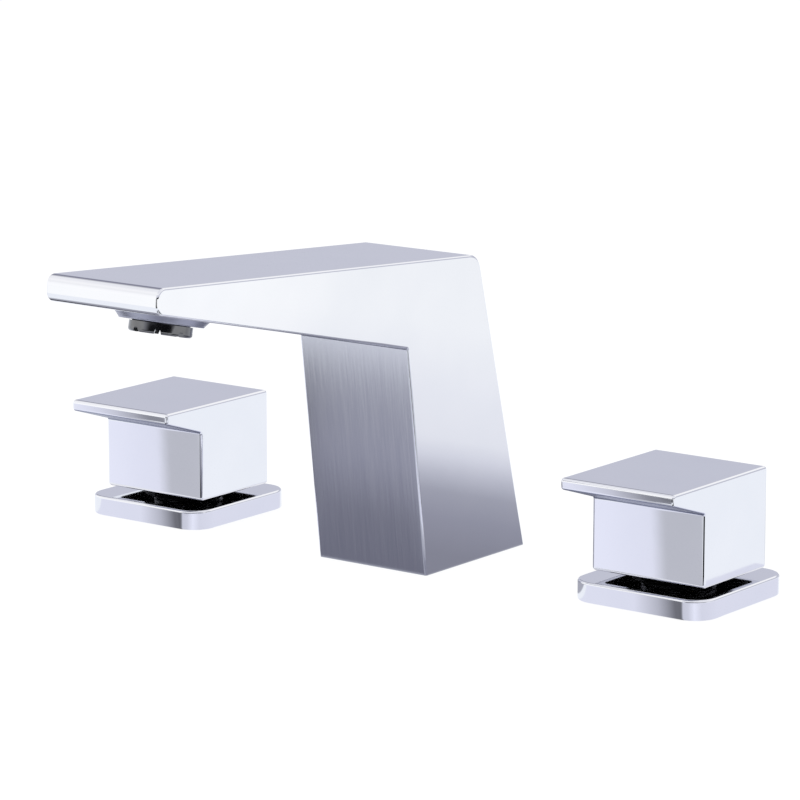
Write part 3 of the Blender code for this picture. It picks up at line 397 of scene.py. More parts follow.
def sink_thread(bm, radius, start, end, thread):
    """Sink a rounded thread into what a shape has at a radius; it fades out at both ends."""
    pitch, depth = thread
    low = min(start, end)
    high = max(start, end)
    for vert in bm.verts:
        reach = math.hypot(vert.co.x, vert.co.y)
        if abs(reach - radius) > FIT / 2 or not low <= vert.co.z <= high:
            continue
        turn = math.atan2(vert.co.y, vert.co.x) / math.tau
        wave = (1 - math.cos(math.tau * ((vert.co.z - low) / pitch - turn))) / 2
        fade = min(1.0, (vert.co.z - low) / pitch, (high - vert.co.z) / pitch)
        vert.co.x *= 1 - depth * wave * fade / reach
        vert.co.y *= 1 - depth * wave * fade / reach


def stacked(low, *steps):
    """Rods on top of one another from a height up, as steps of (radius, upper end)."""
    profile = [(0.0, low)]
    for radius, high in steps:
        profile += [(radius, profile[-1][1]), (radius, high)]
    return turned(profile + [(0.0, profile[-1][1])])


def rod(radius, low, high):
    return stacked(low, (radius, high))


def eased_tube(inner, outer, low, high, edge):
    """A tube whose four edges are rounded."""
    upper = arc((inner + edge, high - edge), edge, 90.0, 90.0)
    lower = arc((inner + edge, low + edge), edge, 180.0, 90.0)
    return turned(lower + eased_side(outer, low, high, edge) + upper)


def eased_side(radius, low, high, edge):
    """Profile corners up the side of a rod whose two edges are rounded."""
    lower = arc((radius - edge, low + edge), edge, -90.0, 90.0)
    return lower + arc((radius - edge, high - edge), edge, 0.0, 90.0)


def turn_to(bm, direction, origin=(0.0, 0.0, 0.0)):
    """Lay a shape that was made along Z along another direction, from an origin."""
    aim = Vector(direction).to_track_quat("Z", "Y").to_matrix().to_4x4()
    bm.transform(Matrix.Translation(origin) @ aim)
    return bm


def arc(centre, radius, start, sweep, steps=EDGE_STEPS):
    """Points on an arc, with angles in degrees."""
    points = []
    for k in range(steps + 1):
        angle = math.radians(start + sweep * k / steps)
        points.append((centre[0] + radius * math.cos(angle), centre[1] + radius * math.sin(angle)))
    return points


def rectangle(left, right, front, back):
    return [(left, front), (right, front), (right, back), (left, back)]


def rounded_rectangle(width, depth, radius):
    points = []
    across = width / 2 - radius
    along = depth / 2 - radius
    for k, (sx, sy) in enumerate(((1, 1), (-1, 1), (-1, -1), (1, -1))):
        points += arc((sx * across, sy * along), radius, 90.0 * k, 90.0, CORNER_STEPS)
    return points


def hexagon(across_flats, centre=(0.0, 0.0)):
    """Six corners, from the one towards +X."""
    return arc(centre, across_flats / math.sqrt(3), 0.0, 300.0, 5)


def sector(inner, outer, middle, sweep, low, high):
    """A slice of a ring, centred on the angle middle, with angles in degrees."""
    steps = max(2, round(sweep / 360.0 * SIDES))
    far = arc((0.0, 0.0), outer, middle - sweep / 2, sweep, steps)
    near = arc((0.0, 0.0), inner, middle + sweep / 2, -sweep, steps)
    return prism(far + near, low, high)


def cross(first, second):
    """Above zero where the second direction turns left from the first."""
    return first.x * second.y - first.y * second.x


def polygon_sides(corners):
    """The sides of a polygon, each as its start and its direction."""
    ends = corners[1:] + corners[:1]
    return [(start, (end - start).normalized()) for start, end in zip(corners, ends)]


def shifted_corners(corners, shifts):
    """The corners of a counter-clockwise polygon after each side has moved inwards by its shift."""
    lines = []
    for (start, along), shift in zip(polygon_sides(corners), shifts):
        lines.append((start + Vector((-along.y, along.x)) * shift, along))
    moved = []
    for i, (point, along) in enumerate(lines):
        previous_point, previous_along = lines[i - 1]
        reach = cross(point - previous_point, along) / cross(previous_along, along)
        moved.append(previous_point + previous_along * reach)
    return moved


def filleted(corners, radii, steps=CORNER_STEPS):
    """A polygon's outline with its corners rounded; a corner of radius zero stays sharp."""
    corners = [Vector(corner) for corner in corners]
    outline = []
    for i, (corner, radius) in enumerate(zip(corners, radii)):
        if radius == 0:
            outline.append(corner)
            continue
        back = (corners[i - 1] - corner).normalized()
        ahead = (corners[(i + 1) % len(corners)] - corner).normalized()
        half = back.angle(ahead) / 2
        centre = corner + (back + ahead).normalized() * (radius / math.sin(half))
        first = corner + back * (radius / math.tan(half)) - centre
        last = corner + ahead * (radius / math.tan(half)) - centre
        start = math.atan2(first.y, first.x)
        sweep = math.atan2(cross(first, last), first.dot(last))
        outline += arc(centre, radius, math.degrees(start), math.degrees(sweep), steps)
    return outline


def side_profiled(corners, radii, kept_side, width, edge):
    """A block with one outline seen from the side (y, z), rounded along both of its side faces.

    The side of the outline that starts at corner kept_side stays where it is, so a block can
    stand flat; None rounds all of them.
    """
    headings = [along for start, along in polygon_sides(corners)]
    convex = [cross(headings[i - 1], heading) > 0 for i, heading in enumerate(headings)]
    quarter = [math.radians(90.0 * k / EDGE_STEPS) for k in range(EDGE_STEPS + 1)]
    rings = []
    for side, angles in ((-1, quarter[::-1]), (1, quarter)):
        for angle in angles:
            inset = edge * (1 - math.cos(angle))
            across = side * (width / 2 - edge + edge * math.sin(angle))
            shifts = [0.0 if i == kept_side else inset for i in range(len(corners))]
            eased = []
            for radius, is_convex in zip(radii, convex):
                change = -inset if is_convex else inset
                eased.append(radius + change if radius > 0 else radius)
            outline = filleted(shifted_corners(corners, shifts), eased)
            rings.append([(across, y, z) for y, z in outline])
    return loft(rings)


class Value:
    """A number that a node tree works out. What is reckoned with it is worked out there too."""

    def __init__(self, shader, socket):
        self.shader = shader
        self.socket = socket

    def __add__(self, other):
        return self.shader.math("ADD", self, other)

    def __sub__(self, other):
        return self.shader.math("SUBTRACT", self, other)

    def __rsub__(self, other):
        return self.shader.math("SUBTRACT", other, self)

    def __mul__(self, other):
        return self.shader.math("MULTIPLY", self, other)

    def __truediv__(self, other):
        return self.shader.math("DIVIDE", self, other)


class Shader:
    """A material's or world's node tree, with short calls for the nodes used here."""

    def __init__(self, tree):
        self.tree = tree
        self.tree.nodes.clear()

    def node(self, kind, inputs=(), **settings):
        """A new node, with its settings and with values or sockets for some of its inputs."""
        made = self.tree.nodes.new(kind)
        for name, value in settings.items():
            setattr(made, name, value)
        for name, value in dict(inputs).items():
            self.feed(made.inputs[name], value)
        return made

    def feed(self, socket, value):
        if isinstance(value, Value):
            value = value.socket
        if isinstance(value, bpy.types.NodeSocket):
            self.tree.links.new(value, socket)
        elif socket.type == "RGBA":
            socket.default_value = (*value, 1.0)
        else:
            socket.default_value = value

    def math(self, operation, first, second=0.0):
        made = self.node("ShaderNodeMath", {0: first, 1: second}, operation=operation)
        return Value(self, made.outputs[0])

    def ease(self, value, start, end, low=0.0, high=1.0):
        """A smooth step from low at start to high at end."""
        given = dict(enumerate((value, start, end, low, high)))
        made = self.node("ShaderNodeMapRange", given, interpolation_type="SMOOTHSTEP")
        return Value(self, made.outputs[0])

    def past(self, value, place, soft):
        """0 before a place and 1 past it, with a smooth step of the width soft."""
        return self.ease(value, place - soft / 2, place + soft / 2)

    def band(self, value, start, end, soft):
        """1 between start and end, fading to 0 over the width soft on each side."""
        fall = self.ease(value, end - soft / 2, end + soft / 2, 1.0, 0.0)
        return self.past(value, start, soft) * fall

    def mix(self, factor, first, second):
        given = {0: factor, 6: first, 7: second}
        return self.node("ShaderNodeMix", given, data_type="RGBA").outputs[2]

    def ramp(self, value, stops, smooth=True):
        """A colour ramp through (place, colour) stops."""
        made = self.node("ShaderNodeValToRGB", {0: value})
        made.color_ramp.interpolation = "EASE" if smooth else "LINEAR"
        elements = made.color_ramp.elements
        while len(elements) < len(stops):
            elements.new(1.0)
        for element, (place, colour) in zip(elements, stops):
            element.position = place
            element.color = (*colour, 1.0)
        return made.outputs[0]

    def greys(self, value, stops):
        """Greys that change evenly through stops of (place, level) or (place, level, blue)."""
        return self.ramp(value, [(place, grey(*level)) for place, *level in stops], smooth=False)

    def noise(self, waves, detail=3.0, roughness=0.5):
        """Noise with so many waves to the metre along each of the object's axes."""
        position = self.node("ShaderNodeTexCoord").outputs["Object"]
        mapping = self.node("ShaderNodeMapping", {"Vector": position, "Scale": waves})
        given = {"Vector": mapping.outputs[0], "Scale": 1.0, "Detail": detail, "Roughness": roughness}
        return Value(self, self.node("ShaderNodeTexNoise", given).outputs["Fac"])

    def bump(self, height, distance):
        given = {"Height": height, "Distance": distance, "Strength": 1.0}
        return self.node("ShaderNodeBump", given).outputs[0]

    def split(self, vector):
        made = self.node("ShaderNodeSeparateXYZ", {0: vector})
        return [Value(self, output) for output in made.outputs]

    def surface(self, **inputs):
        """The Principled shader, with a value or a socket for each named input."""
        given = {name.replace("_", " "): value for name, value in inputs.items()}
        shader = self.node("ShaderNodeBsdfPrincipled", given)
        self.node("ShaderNodeOutputMaterial", {"Surface": shader.outputs[0]})

    def is_mirrored(self, path):
        """1 for the rays that polished metal sends out."""
        return self.math("MAXIMUM", path["Is Glossy Ray"], path["Is Transmission Ray"])


def grey(level, blue=1.18):
    """A cool grey, whose blue is so many times its red."""
    return (level, level * 1.02, level * blue)


def material(name):
    made = bpy.data.materials.new(name)
    made.use_nodes = True
    return made, Shader(made.node_tree)


# Between these two levels lies most of what a noise gives
NOISE_LEVELS = (0.3, 0.7)


def grained(name, metallic, waves, detail, colours, roughness, relief, lines=None):
    """A material whose colour, roughness and relief all follow one grain.

    colours and roughness are (low, high) pairs and relief is a height. lines are the (waves,
    detail) of a second grain that the relief follows instead.
    """
    made, s = material(name)
    grain = s.noise(waves, detail)
    low, high = roughness
    inputs = {"Roughness": low if low == high else s.ease(grain, *NOISE_LEVELS, low, high)}
    if relief:
        inputs["Normal"] = s.bump(s.noise(*lines) if lines else grain, relief)
    s.surface(Metallic=metallic, Base_Color=s.mix(grain, *colours), **inputs)
    return made


def streaked_material():
    """Chrome with upright polishing streaks, fine ones over broad ones."""
    made, s = material("streaked_chrome")
    fine_streaks = s.noise((2600.0, 400.0, 14.0), 4.0, 0.6)
    streaks = fine_streaks * 0.7 + s.noise((420.0, 80.0, 5.0), 3.0, 0.6) * 0.3
    colour = s.mix(s.ease(streaks, *NOISE_LEVELS), (0.84, 0.85, 0.92), (0.93, 0.94, 0.99))
    roughness = s.ease(streaks, *NOISE_LEVELS, 0.20, 0.24)
    s.surface(Metallic=1.0, Base_Color=colour, Roughness=roughness, Normal=s.bump(fine_streaks, 0.000003))
    return made


def even(waves):
    return (waves, waves, waves)


# Painted-shadow metal is a near-black copy of metal that paints the shadow in the gap under a handle, satin
# is for the ring round the outlet, painted-shade chrome is a darker copy of chrome that paints shade on the
# underside of each handle's lip, and casting is for the unplated insides, made near black to paint the
# shade in them as well
SATIN = ((300.0, 300.0, 5200.0), 3.0)
MATERIALS = {
    "chrome": grained(
        "polished_chrome", 1.0, even(45.0), 3.0,
        ((0.86, 0.87, 0.90), (0.93, 0.93, 0.95)), (0.045, 0.075), 0.000004, (even(220.0), 1.0),
    ),
    "streaked": streaked_material(),
    # Unplated casting, made near black so that it also paints the shade inside the handle and the spout
    "casting": grained(
        "raw_casting", 0.2, even(2600.0), 4.0,
        ((0.012, 0.0115, 0.011), (0.034, 0.033, 0.031)), (0.7, 0.7), 0.00006,
    ),
    # Painted shadow: near-black metal for the parts that show in the gap under a handle, standing in for
    # the shade there
    "darkened": grained(
        "darkened_metal", 0.6, even(1500.0), 4.0,
        ((0.010, 0.010, 0.011), (0.020, 0.020, 0.021)), (0.34, 0.50), 0.00001,
    ),
    "smoked": grained(
        "smoked_chrome", 1.0, even(300.0), 3.0,
        ((0.13, 0.13, 0.135), (0.22, 0.22, 0.225)), (0.06, 0.11), 0.00001,
    ),
    "satin": grained(
        "satin_chrome", 1.0, *SATIN,
        ((0.38, 0.39, 0.47), (0.50, 0.51, 0.60)), (0.30, 0.42), 0.000005,
    ),
    # Painted shade: a darker copy of the chrome for the underside of each handle's lip, standing in for the
    # shade under it
    "shaded": grained(
        "shaded_chrome", 1.0, *SATIN,
        ((0.26, 0.28, 0.37), (0.34, 0.36, 0.46)), (0.30, 0.42), 0.000005,
    ),
    "brass": grained(
        "machined_brass", 1.0, even(160.0), 3.0,
        ((0.70, 0.50, 0.22), (0.86, 0.69, 0.37)), (0.22, 0.38), 0.00001, ((30.0, 30.0, 5200.0), 2.0),
    ),
    "steel": grained(
        "plain_steel", 1.0, (900.0, 3600.0, 900.0), 3.0,
        ((0.55, 0.56, 0.58), (0.70, 0.71, 0.73)), (0.26, 0.40), 0.00001,
    ),
    "ceramic": grained(
        "lapped_ceramic", 0.0, even(1800.0), 4.0,
        ((0.84, 0.83, 0.80), (0.93, 0.92, 0.90)), (0.14, 0.26), 0.0,
    ),
    "rubber": grained(
        "black_rubber", 0.0, even(3200.0), 4.0,
        ((0.018, 0.018, 0.018), (0.042, 0.042, 0.040)), (0.62, 0.82), 0.00003,
    ),
    "plastic": grained(
        "dark_plastic", 0.0, even(2400.0), 3.0,
        ((0.012, 0.012, 0.013), (0.030, 0.030, 0.032)), (0.20, 0.34), 0.000008,
    ),
    "white_plastic": grained(
        "white_plastic", 0.0, even(2400.0), 3.0,
        ((0.74, 0.74, 0.71), (0.84, 0.84, 0.82)), (0.20, 0.34), 0.000008,
    ),
}


def fine(node, bm):
    return solid(node + "_fine", bm)


def dress(obj, slot, node, place=(0.0, 0.0, 0.0), extra=(), finish=None):
    """Finish a piece that stands for a node: material, shading, and the body that it rides on.

    The slot is the record's, and finish names another material than the slot's own. extra holds
    (material, test) pairs: a face that passes the test gets that material instead.
    """
    obj.data.materials.clear()
    obj.data.materials.append(MATERIALS[finish or slot])
    for polygon in obj.data.polygons:
        polygon.material_index = 0
    for name, test in extra:
        obj.data.materials.append(MATERIALS[name])
        index = len(obj.data.materials) - 1
        for polygon in obj.data.polygons:
            if test(polygon.center, polygon.normal):
                polygon.material_index = index
    obj.data.shade_smooth()
    obj.data.set_sharp_from_angle(angle=SHARP_ANGLE)
    weighted = obj.modifiers.new("flat_faces", "WEIGHTED_NORMAL")
    weighted.mode = "FACE_AREA_WITH_ANGLE"
    weighted.weight = 100
    weighted.keep_sharp = True
    obj.location = place
    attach(obj, frame["nodes"][node]["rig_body"])
    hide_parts(node)


def outlet_frame():
    """The outlet's origin on the spout's underside, and its tilt about X so that +Z points inwards."""
    run = SPOUT_TIP_FORWARD - SPOUT_CROTCH_FORWARD
    rise = SPOUT_TIP_HEIGHT - SPOUT_CROTCH_HEIGHT
    behind = SPOUT_TIP_FORWARD - OUTLET_BEHIND_TIP
    height = SPOUT_TIP_HEIGHT - OUTLET_BEHIND_TIP * rise / run
    return Matrix.Translation((0.0, -behind, height)) @ Matrix.Rotation(-math.atan2(rise, run), 4, "X")


def in_outlet_frame(shape):
    """Move a shape, or a finished piece's mesh, to the outlet."""
    shape.transform(outlet_frame())
    return shape


def spout_corners():
    half = SPOUT_BASE_DEPTH / 2
    corners = (
        (-half, 0.0),
        (half, 0.0),
        (SPOUT_SHOULDER_BACK, SPOUT_SHOULDER_HEIGHT),
        (-SPOUT_TIP_FORWARD + SPOUT_TIP_LEAN, SPOUT_TIP_HEIGHT + SPOUT_TIP_THICKNESS),
        (-SPOUT_TIP_FORWARD, SPOUT_TIP_HEIGHT),
        (-SPOUT_CROTCH_FORWARD, SPOUT_CROTCH_HEIGHT),
    )
    return [Vector(corner) for corner in corners]


def is_leg_front(centre, normal):
    """The brushed front of the leg, with the edges rounded beside it."""
    before = centre.y < -SPOUT_BASE_DEPTH / 2 + SPOUT_EDGE_RADIUS and abs(normal.x) < SIDEWAYS
    leg = abs(normal.z) < UPRIGHT and centre.z < SPOUT_CROTCH_HEIGHT
    from_crotch = math.hypot(centre.y + SPOUT_CROTCH_FORWARD, centre.z - SPOUT_CROTCH_HEIGHT)
    return before and (leg or from_crotch < SPOUT_CROTCH_RADIUS)


def on_collar(centre, normal):
    """The ring that stands out round the outlet."""
    local = outlet_frame().inverted() @ centre
    beyond = math.hypot(local.x, local.y) > AERATOR_RADIUS + FIT * 2
    return beyond and -COLLAR_HEIGHT - FIT < local.z < -COLLAR_EDGE / 2 and centre.z < SPOUT_TIP_HEIGHT


def inside_spout(centre, normal):
    inner = SPOUT_WIDTH / 2 - SPOUT_WALL / 2
    return abs(centre.x) < inner and centre.z > SPOUT_FLOOR / 2 and not is_outer_spout(centre)


def is_outer_spout(centre):
    """Whether a point lies on one of the outline's sides, seen from the side."""
    point = Vector((centre.y, centre.z))
    outline = polygon_sides(spout_corners())
    return any(abs(cross(point - start, along)) < SPOUT_WALL / 2 for start, along in outline)


def spout_body():
    corners = spout_corners()
    lip = SPOUT_LIP_RADIUS
    radii = [0.0, 0.0, SPOUT_SHOULDER_RADIUS, lip, lip, SPOUT_CROTCH_RADIUS]
    body = solid("spout_casting", side_profiled(corners, radii, 0, SPOUT_WIDTH, SPOUT_EDGE_RADIUS))
    rim = COLLAR_RADIUS - COLLAR_TAPER
    collar = [
        (0.0, SPOUT_WALL / 2),
        (COLLAR_RADIUS, SPOUT_WALL / 2),
        (COLLAR_RADIUS, 0.0),
        *arc((rim - COLLAR_EDGE, -COLLAR_HEIGHT + COLLAR_EDGE), COLLAR_EDGE, 0.0, -90.0),
        (0.0, -COLLAR_HEIGHT),
    ]
    join(body, in_outlet_frame(turned(collar)))

    walls = [SPOUT_FLOOR, SPOUT_WALL, SPOUT_WALL, SPOUT_NOSE, SPOUT_WALL, SPOUT_WALL]
    inner = shifted_corners(corners, walls)
    half = SPOUT_WIDTH / 2 - SPOUT_WALL
    waterway = solid("waterway", loft([[(x, y, z) for y, z in inner] for x in (-half, half)]))
    bore = AERATOR_RADIUS + FIT
    boss_top = SPOUT_WALL + OUTLET_BOSS_HEIGHT
    cut(waterway, in_outlet_frame(rod(bore + OUTLET_BOSS_WALL, 0.0, boss_top)))
    ledge = (bore, boss_top - OUTLET_LEDGE)
    throat = (bore - OUTLET_LEDGE_WIDTH, boss_top + OVERRUN)
    cut(
        body,
        waterway,
        in_outlet_frame(stacked(-COLLAR_HEIGHT - OVERRUN, ledge, throat)),
        rod(SHANK_RADIUS + FIT, -OVERRUN, SPOUT_FLOOR + OVERRUN),
        gasket_ring(FIT, -OVERRUN, GASKET_HEIGHT + FIT),
    )
    # The insides get the casting finish, made near black to paint the shade in them
    extra = [("streaked", is_leg_front), ("casting", inside_spout), ("satin", on_collar)]
    dress(body, "chrome", "spout_body", extra=extra)


def gasket_ring(clearance, low, high):
    """The spout's base gasket, or its groove when there is a clearance."""
    outer_inset = GASKET_INSET - clearance
    inner_inset = GASKET_INSET + GASKET_WIDTH + clearance
    rings = []
    for inset, radius, heights in (
        (outer_inset, GASKET_CORNER, (low, high)),
        (inner_inset, GASKET_CORNER - GASKET_WIDTH, (high, low)),
    ):
        outline = rounded_rectangle(SPOUT_WIDTH - 2 * inset, SPOUT_BASE_DEPTH - 2 * inset, radius)
        rings += [at_height(outline, height) for height in heights]
    return loft(rings, closed=True)


def handle_corners():
    half = HANDLE_DEPTH / 2
    lip = -half - HANDLE_LIP
    corners = (
        (-half, BLOCK_BOTTOM),
        (half, BLOCK_BOTTOM),
        (half, HANDLE_TOP),
        (lip, HANDLE_TOP),
        (lip, HANDLE_TOP - LIP_TIP_THICKNESS),
        (-half, HANDLE_TOP - LIP_ROOT_THICKNESS),
    )
    return [Vector(corner) for corner in corners]


def inside_handle(centre, normal):
    inner = HANDLE_WIDTH / 2 - HANDLE_WALL / 2
    depth = HANDLE_DEPTH / 2 - HANDLE_WALL / 2
    above = centre.z > BLOCK_BOTTOM + HANDLE_WALL / 2
    below = centre.z < HANDLE_TOP - HANDLE_ROOF / 2
    return abs(centre.x) < inner and abs(centre.y) < depth and above and below


# The underside of a handle's lip, which gets the painted shade
def under_lip(centre, normal):
    return normal.z < DOWNWARD and centre.z > BLOCK_BOTTOM * 2 and centre.y < -HANDLE_DEPTH / 2


def handle(side, axis):
    block = HANDLE_CORNER_RADIUS
    radii = [block, block, block, LIP_TIP_RADIUS, LIP_TIP_RADIUS, block]
    shape = side_profiled(handle_corners(), radii, None, HANDLE_WIDTH, HANDLE_EDGE_RADIUS)
    body = solid(side + "_lever", shape)
    cavity_top = HANDLE_TOP - HANDLE_ROOF
    cavity_width = HANDLE_WIDTH - 2 * HANDLE_WALL
    cavity_depth = HANDLE_DEPTH - 2 * HANDLE_WALL
    outline = rounded_rectangle(cavity_width, cavity_depth, HANDLE_CAVITY_CORNER)
    cavity = solid("cavity", prism(outline, BLOCK_BOTTOM - OVERRUN, cavity_top))
    bore = ADAPTER_RADIUS + FIT
    boss = rod(SCREW_BOSS_RADIUS, 0.0, HANDLE_DEPTH / 2 - HANDLE_WALL / 2)
    hub = rod(bore + HUB_WALL, ADAPTER_BOTTOM, cavity_top + OVERRUN)
    cut(cavity, hub, turn_to(boss, SCREW_HEADING, SCREW_ORIGIN))
    adapter_hole = rod(bore, ADAPTER_BOTTOM - OVERRUN, ADAPTER_TOP + FIT)
    screw_hole = rod(SCREW_RADIUS + FIT, 0.0, HANDLE_DEPTH / 2 + OVERRUN)
    cut(body, cavity, adapter_hole, turn_to(screw_hole, SCREW_HEADING, SCREW_ORIGIN))
    # The cavity gets the casting finish, made near black to paint the shade in it, and the lip's underside
    # gets painted shade, a darker copy of the chrome
    dress(body, "chrome", side + "_handle", axis, extra=[("casting", inside_handle), ("shaded", under_lip)])


def escutcheon(side, axis):
    """The square plate: eased at its foot, rounded at its top edge, hollow below."""
    foot = PLATE_FOOT_RADIUS
    edge = PLATE_EDGE_RADIUS
    steps = arc((foot, foot), foot, 270.0, -90.0)
    steps += arc((edge, PLATE_THICKNESS - edge), edge, 180.0, -90.0)
    rings = []
    for inset, height in steps:
        outline = rounded_rectangle(PLATE_SIDE - 2 * inset, PLATE_SIDE - 2 * inset, PLATE_CORNER - inset)
        rings.append(at_height(outline, height))
    plate = solid(side + "_plate", loft(rings))
    side_within = PLATE_SIDE - 2 * PLATE_RIM
    within = rounded_rectangle(side_within, side_within, PLATE_CORNER - PLATE_RIM)
    hole = (VALVE_RADIUS + FIT, PLATE_THICKNESS - RING_NUT_HEIGHT - FIT)
    nut_seat = (VALVE_RADIUS + FIT + RING_NUT_WIDTH + FIT, PLATE_THICKNESS + OVERRUN)
    cut(plate, prism(within, -OVERRUN, PLATE_RECESS), stacked(-OVERRUN, hole, nut_seat))
    dress(plate, "chrome", side + "_escutcheon", axis)


def aerator():
    """The notched housing, the honeycomb in its mouth, the screen behind and the rubber washer."""
    rim_top = -COLLAR_HEIGHT - FIT
    rim_bottom = rim_top - AERATOR_RIM_HEIGHT
    washer_top = SPOUT_WALL + OUTLET_BOSS_HEIGHT - OUTLET_LEDGE - FIT
    washer_bottom = washer_top - AERATOR_WASHER
    housing_top = washer_bottom - FIT
    bore = AERATOR_RADIUS - AERATOR_WALL
    rim = AERATOR_RADIUS + AERATOR_RIM_WIDTH
    notch_top = rim_bottom + CROWN_NOTCH_DEPTH
    stop_bore = bore - AERATOR_STOP_WIDTH
    stop_top = notch_top + AERATOR_STOP_HEIGHT
    edge = AERATOR_RIM_RADIUS
    profile = [
        (AERATOR_RADIUS, housing_top, rim_top, SMALL_THREAD),
        (rim, rim_top),
        *arc((rim - edge, rim_bottom + edge), edge, 0.0, -90.0),
        (bore, rim_bottom),
        (bore, notch_top),
        (stop_bore, notch_top),
        (stop_bore, stop_top),
        (bore, stop_top),
        (bore, housing_top),
    ]
    housing = fine("aerator_housing", turned(profile))
    mouth = CROWN_NOTCH_WIDTH / 2
    root = mouth * CROWN_NOTCH_ROOT_SHARE
    notch_low = rim_bottom - OVERRUN
    corners = ((-mouth, notch_low), (mouth, notch_low), (root, notch_top), (-root, notch_top))
    wedge = filleted(corners, [0, 0, root / 2, root / 2])
    notches = []
    for k in range(CROWN_NOTCHES):
        notch = loft([[(x, y, z) for y, z in wedge] for x in (stop_bore - OVERRUN, rim + OVERRUN)])
        notch.transform(Matrix.Rotation(CROWN_TURN + math.tau * k / CROWN_NOTCHES, 4, "Z"))
        notches.append(notch)
    cut(housing, together(notches))
    in_outlet_frame(housing.data)
    dress(housing, "plastic", "aerator_housing", finish="smoked")

    grid_bottom = stop_top + FIT
    grid_top = grid_bottom + GRID_HEIGHT
    grid = fine("aerator_grid", rod(bore - FIT, grid_bottom, grid_top))
    holes = []
    for centre in honeycomb(GRID_RINGS, GRID_PITCH):
        outline = filleted(hexagon(GRID_HOLE_FLATS, centre), [GRID_HOLE_CORNER] * 6, GRID_HOLE_STEPS)
        holes.append(prism(outline, grid_bottom - OVERRUN, grid_top + OVERRUN))
    cut(grid, together(holes))
    in_outlet_frame(grid.data)
    dress(grid, "plastic", "aerator_grid")

    screen = woven_screen(bore - FIT, grid_top + FIT + INSERT_HEIGHT + FIT)
    dress(fine("aerator_screen", in_outlet_frame(screen)), "steel", "aerator_screen")
    washer = eased_tube(bore, AERATOR_RADIUS, washer_bottom, washer_top, WASHER_EDGE)
    dress(fine("aerator_washer", in_outlet_frame(washer)), "rubber", "aerator_washer")


def honeycomb(rings, pitch):
    """Centres of a hexagonal pattern with so many rings round its middle."""
    centres = []
    for q in range(-rings, rings + 1):
        for r in range(max(-rings, -q - rings), min(rings, -q + rings) + 1):
            centres.append((pitch * (q + r / 2), pitch * r * math.sqrt(3) / 2))
    return centres


def woven_screen(radius, low):
    """Wires over and under each other, domed in the middle, in a pressed rim."""
    shapes = [eased_tube(radius - SCREEN_RIM, radius, low, low + SCREEN_THICKNESS, SCREEN_WIRE)]
    count = int(radius / SCREEN_PITCH)
    for across in (False, True):
        for k in range(-count, count + 1):
            offset = (k + 1 / 2) * SCREEN_PITCH
            if abs(offset) > radius - SCREEN_RIM - SCREEN_WIRE:
                continue
            reach = math.sqrt((radius - 2 * SCREEN_WIRE) ** 2 - offset ** 2)
            steps = SCREEN_STEPS * max(2, round(reach / SCREEN_PITCH))
            rings = []
            for step in range(steps + 1):
                along = -reach + 2 * reach * step / steps
                over = math.cos(math.pi * (along / SCREEN_PITCH - 1 / 2)) * (-1) ** k
                dome = SCREEN_RISE * (1 - (along ** 2 + offset ** 2) / radius ** 2)
                height = low + SCREEN_THICKNESS / 2 + dome + SCREEN_WIRE * (-over if across else over)
                ring = []
                for side in range(WIRE_SIDES):
                    angle = math.tau * side / WIRE_SIDES
                    aside = offset + SCREEN_WIRE * math.cos(angle)
                    point = (aside, along) if across else (along, aside)
                    ring.append((*point, height + SCREEN_WIRE * math.sin(angle)))
                rings.append(ring)
            shapes.append(loft(rings))
    return together(shapes)


def deck_clamp(name, shank_radius, nut_flats, place=(0.0, 0.0, 0.0)):
    """The rubber seal, washer and nut that clamp a shank against the deck's underside."""
    hole = shank_radius + FIT
    for kind, slot, edge in (("_deck_seal", "rubber", SEAL_EDGE), ("_deck_washer", "steel", WASHER_EDGE)):
        low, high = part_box(name + kind)
        ring = eased_tube(hole, (high.x - low.x) / 2, low.z, high.z, edge)
        dress(fine(name + kind, ring), slot, name + kind, place)
    low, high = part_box(name + "_deck_nut")
    nut = fine(name + "_deck_nut", prism(hexagon(nut_flats), low.z, high.z))
    bevels = [bevel(nut_flats, NUT_CHAMFER, face, inwards) for face, inwards in ((high.z, -1), (low.z, 1))]
    cut(nut, together(bevels), rod(hole, low.z - OVERRUN, high.z + OVERRUN))
    dress(nut, "brass", name + "_deck_nut", place)


def bevel(flats, chamfer, face, inwards):
    """What a lathe takes off a hexagon's corners at one of its faces."""
    corner = flats / math.sqrt(3)
    inner = corner - 2 * chamfer
    outer = corner + OVERRUN
    slope = inwards * (outer - inner) * math.tan(BEVEL_ANGLE)
    beyond = face - inwards * OVERRUN
    return turned([(inner, face), (outer, face + slope), (outer, beyond), (inner, beyond)])


def spout_shank():
    groove_low = SHANK_RING_ABOVE_DECK
    groove_high = groove_low + SHANK_RING_HEIGHT
    groove_radius = SHANK_RADIUS - SHANK_RING_DEPTH
    top = SPOUT_FLOOR - FIT
    profile = [
        (SHANK_BORE, -SHANK_BELOW),
        (SHANK_RADIUS, -SHANK_BELOW, -THREAD_START, PIPE_THREAD),
        (SHANK_RADIUS, groove_low),
        (groove_radius, groove_low),
        (groove_radius, groove_high),
        (SHANK_RADIUS, groove_high),
        (SHANK_RADIUS, top),
        (SHANK_BORE, top),
    ]
    dress(fine("spout_shank", turned(profile, THREAD_SIDES)), "brass", "spout_shank")


def nipple(radius, inner_end, thread_start, reach):
    """A threaded connection, along Z."""
    thread = (radius, thread_start, reach, SMALL_THREAD)
    return turned([(0.0, inner_end), (radius, inner_end), thread, (0.0, reach)], THREAD_SIDES)


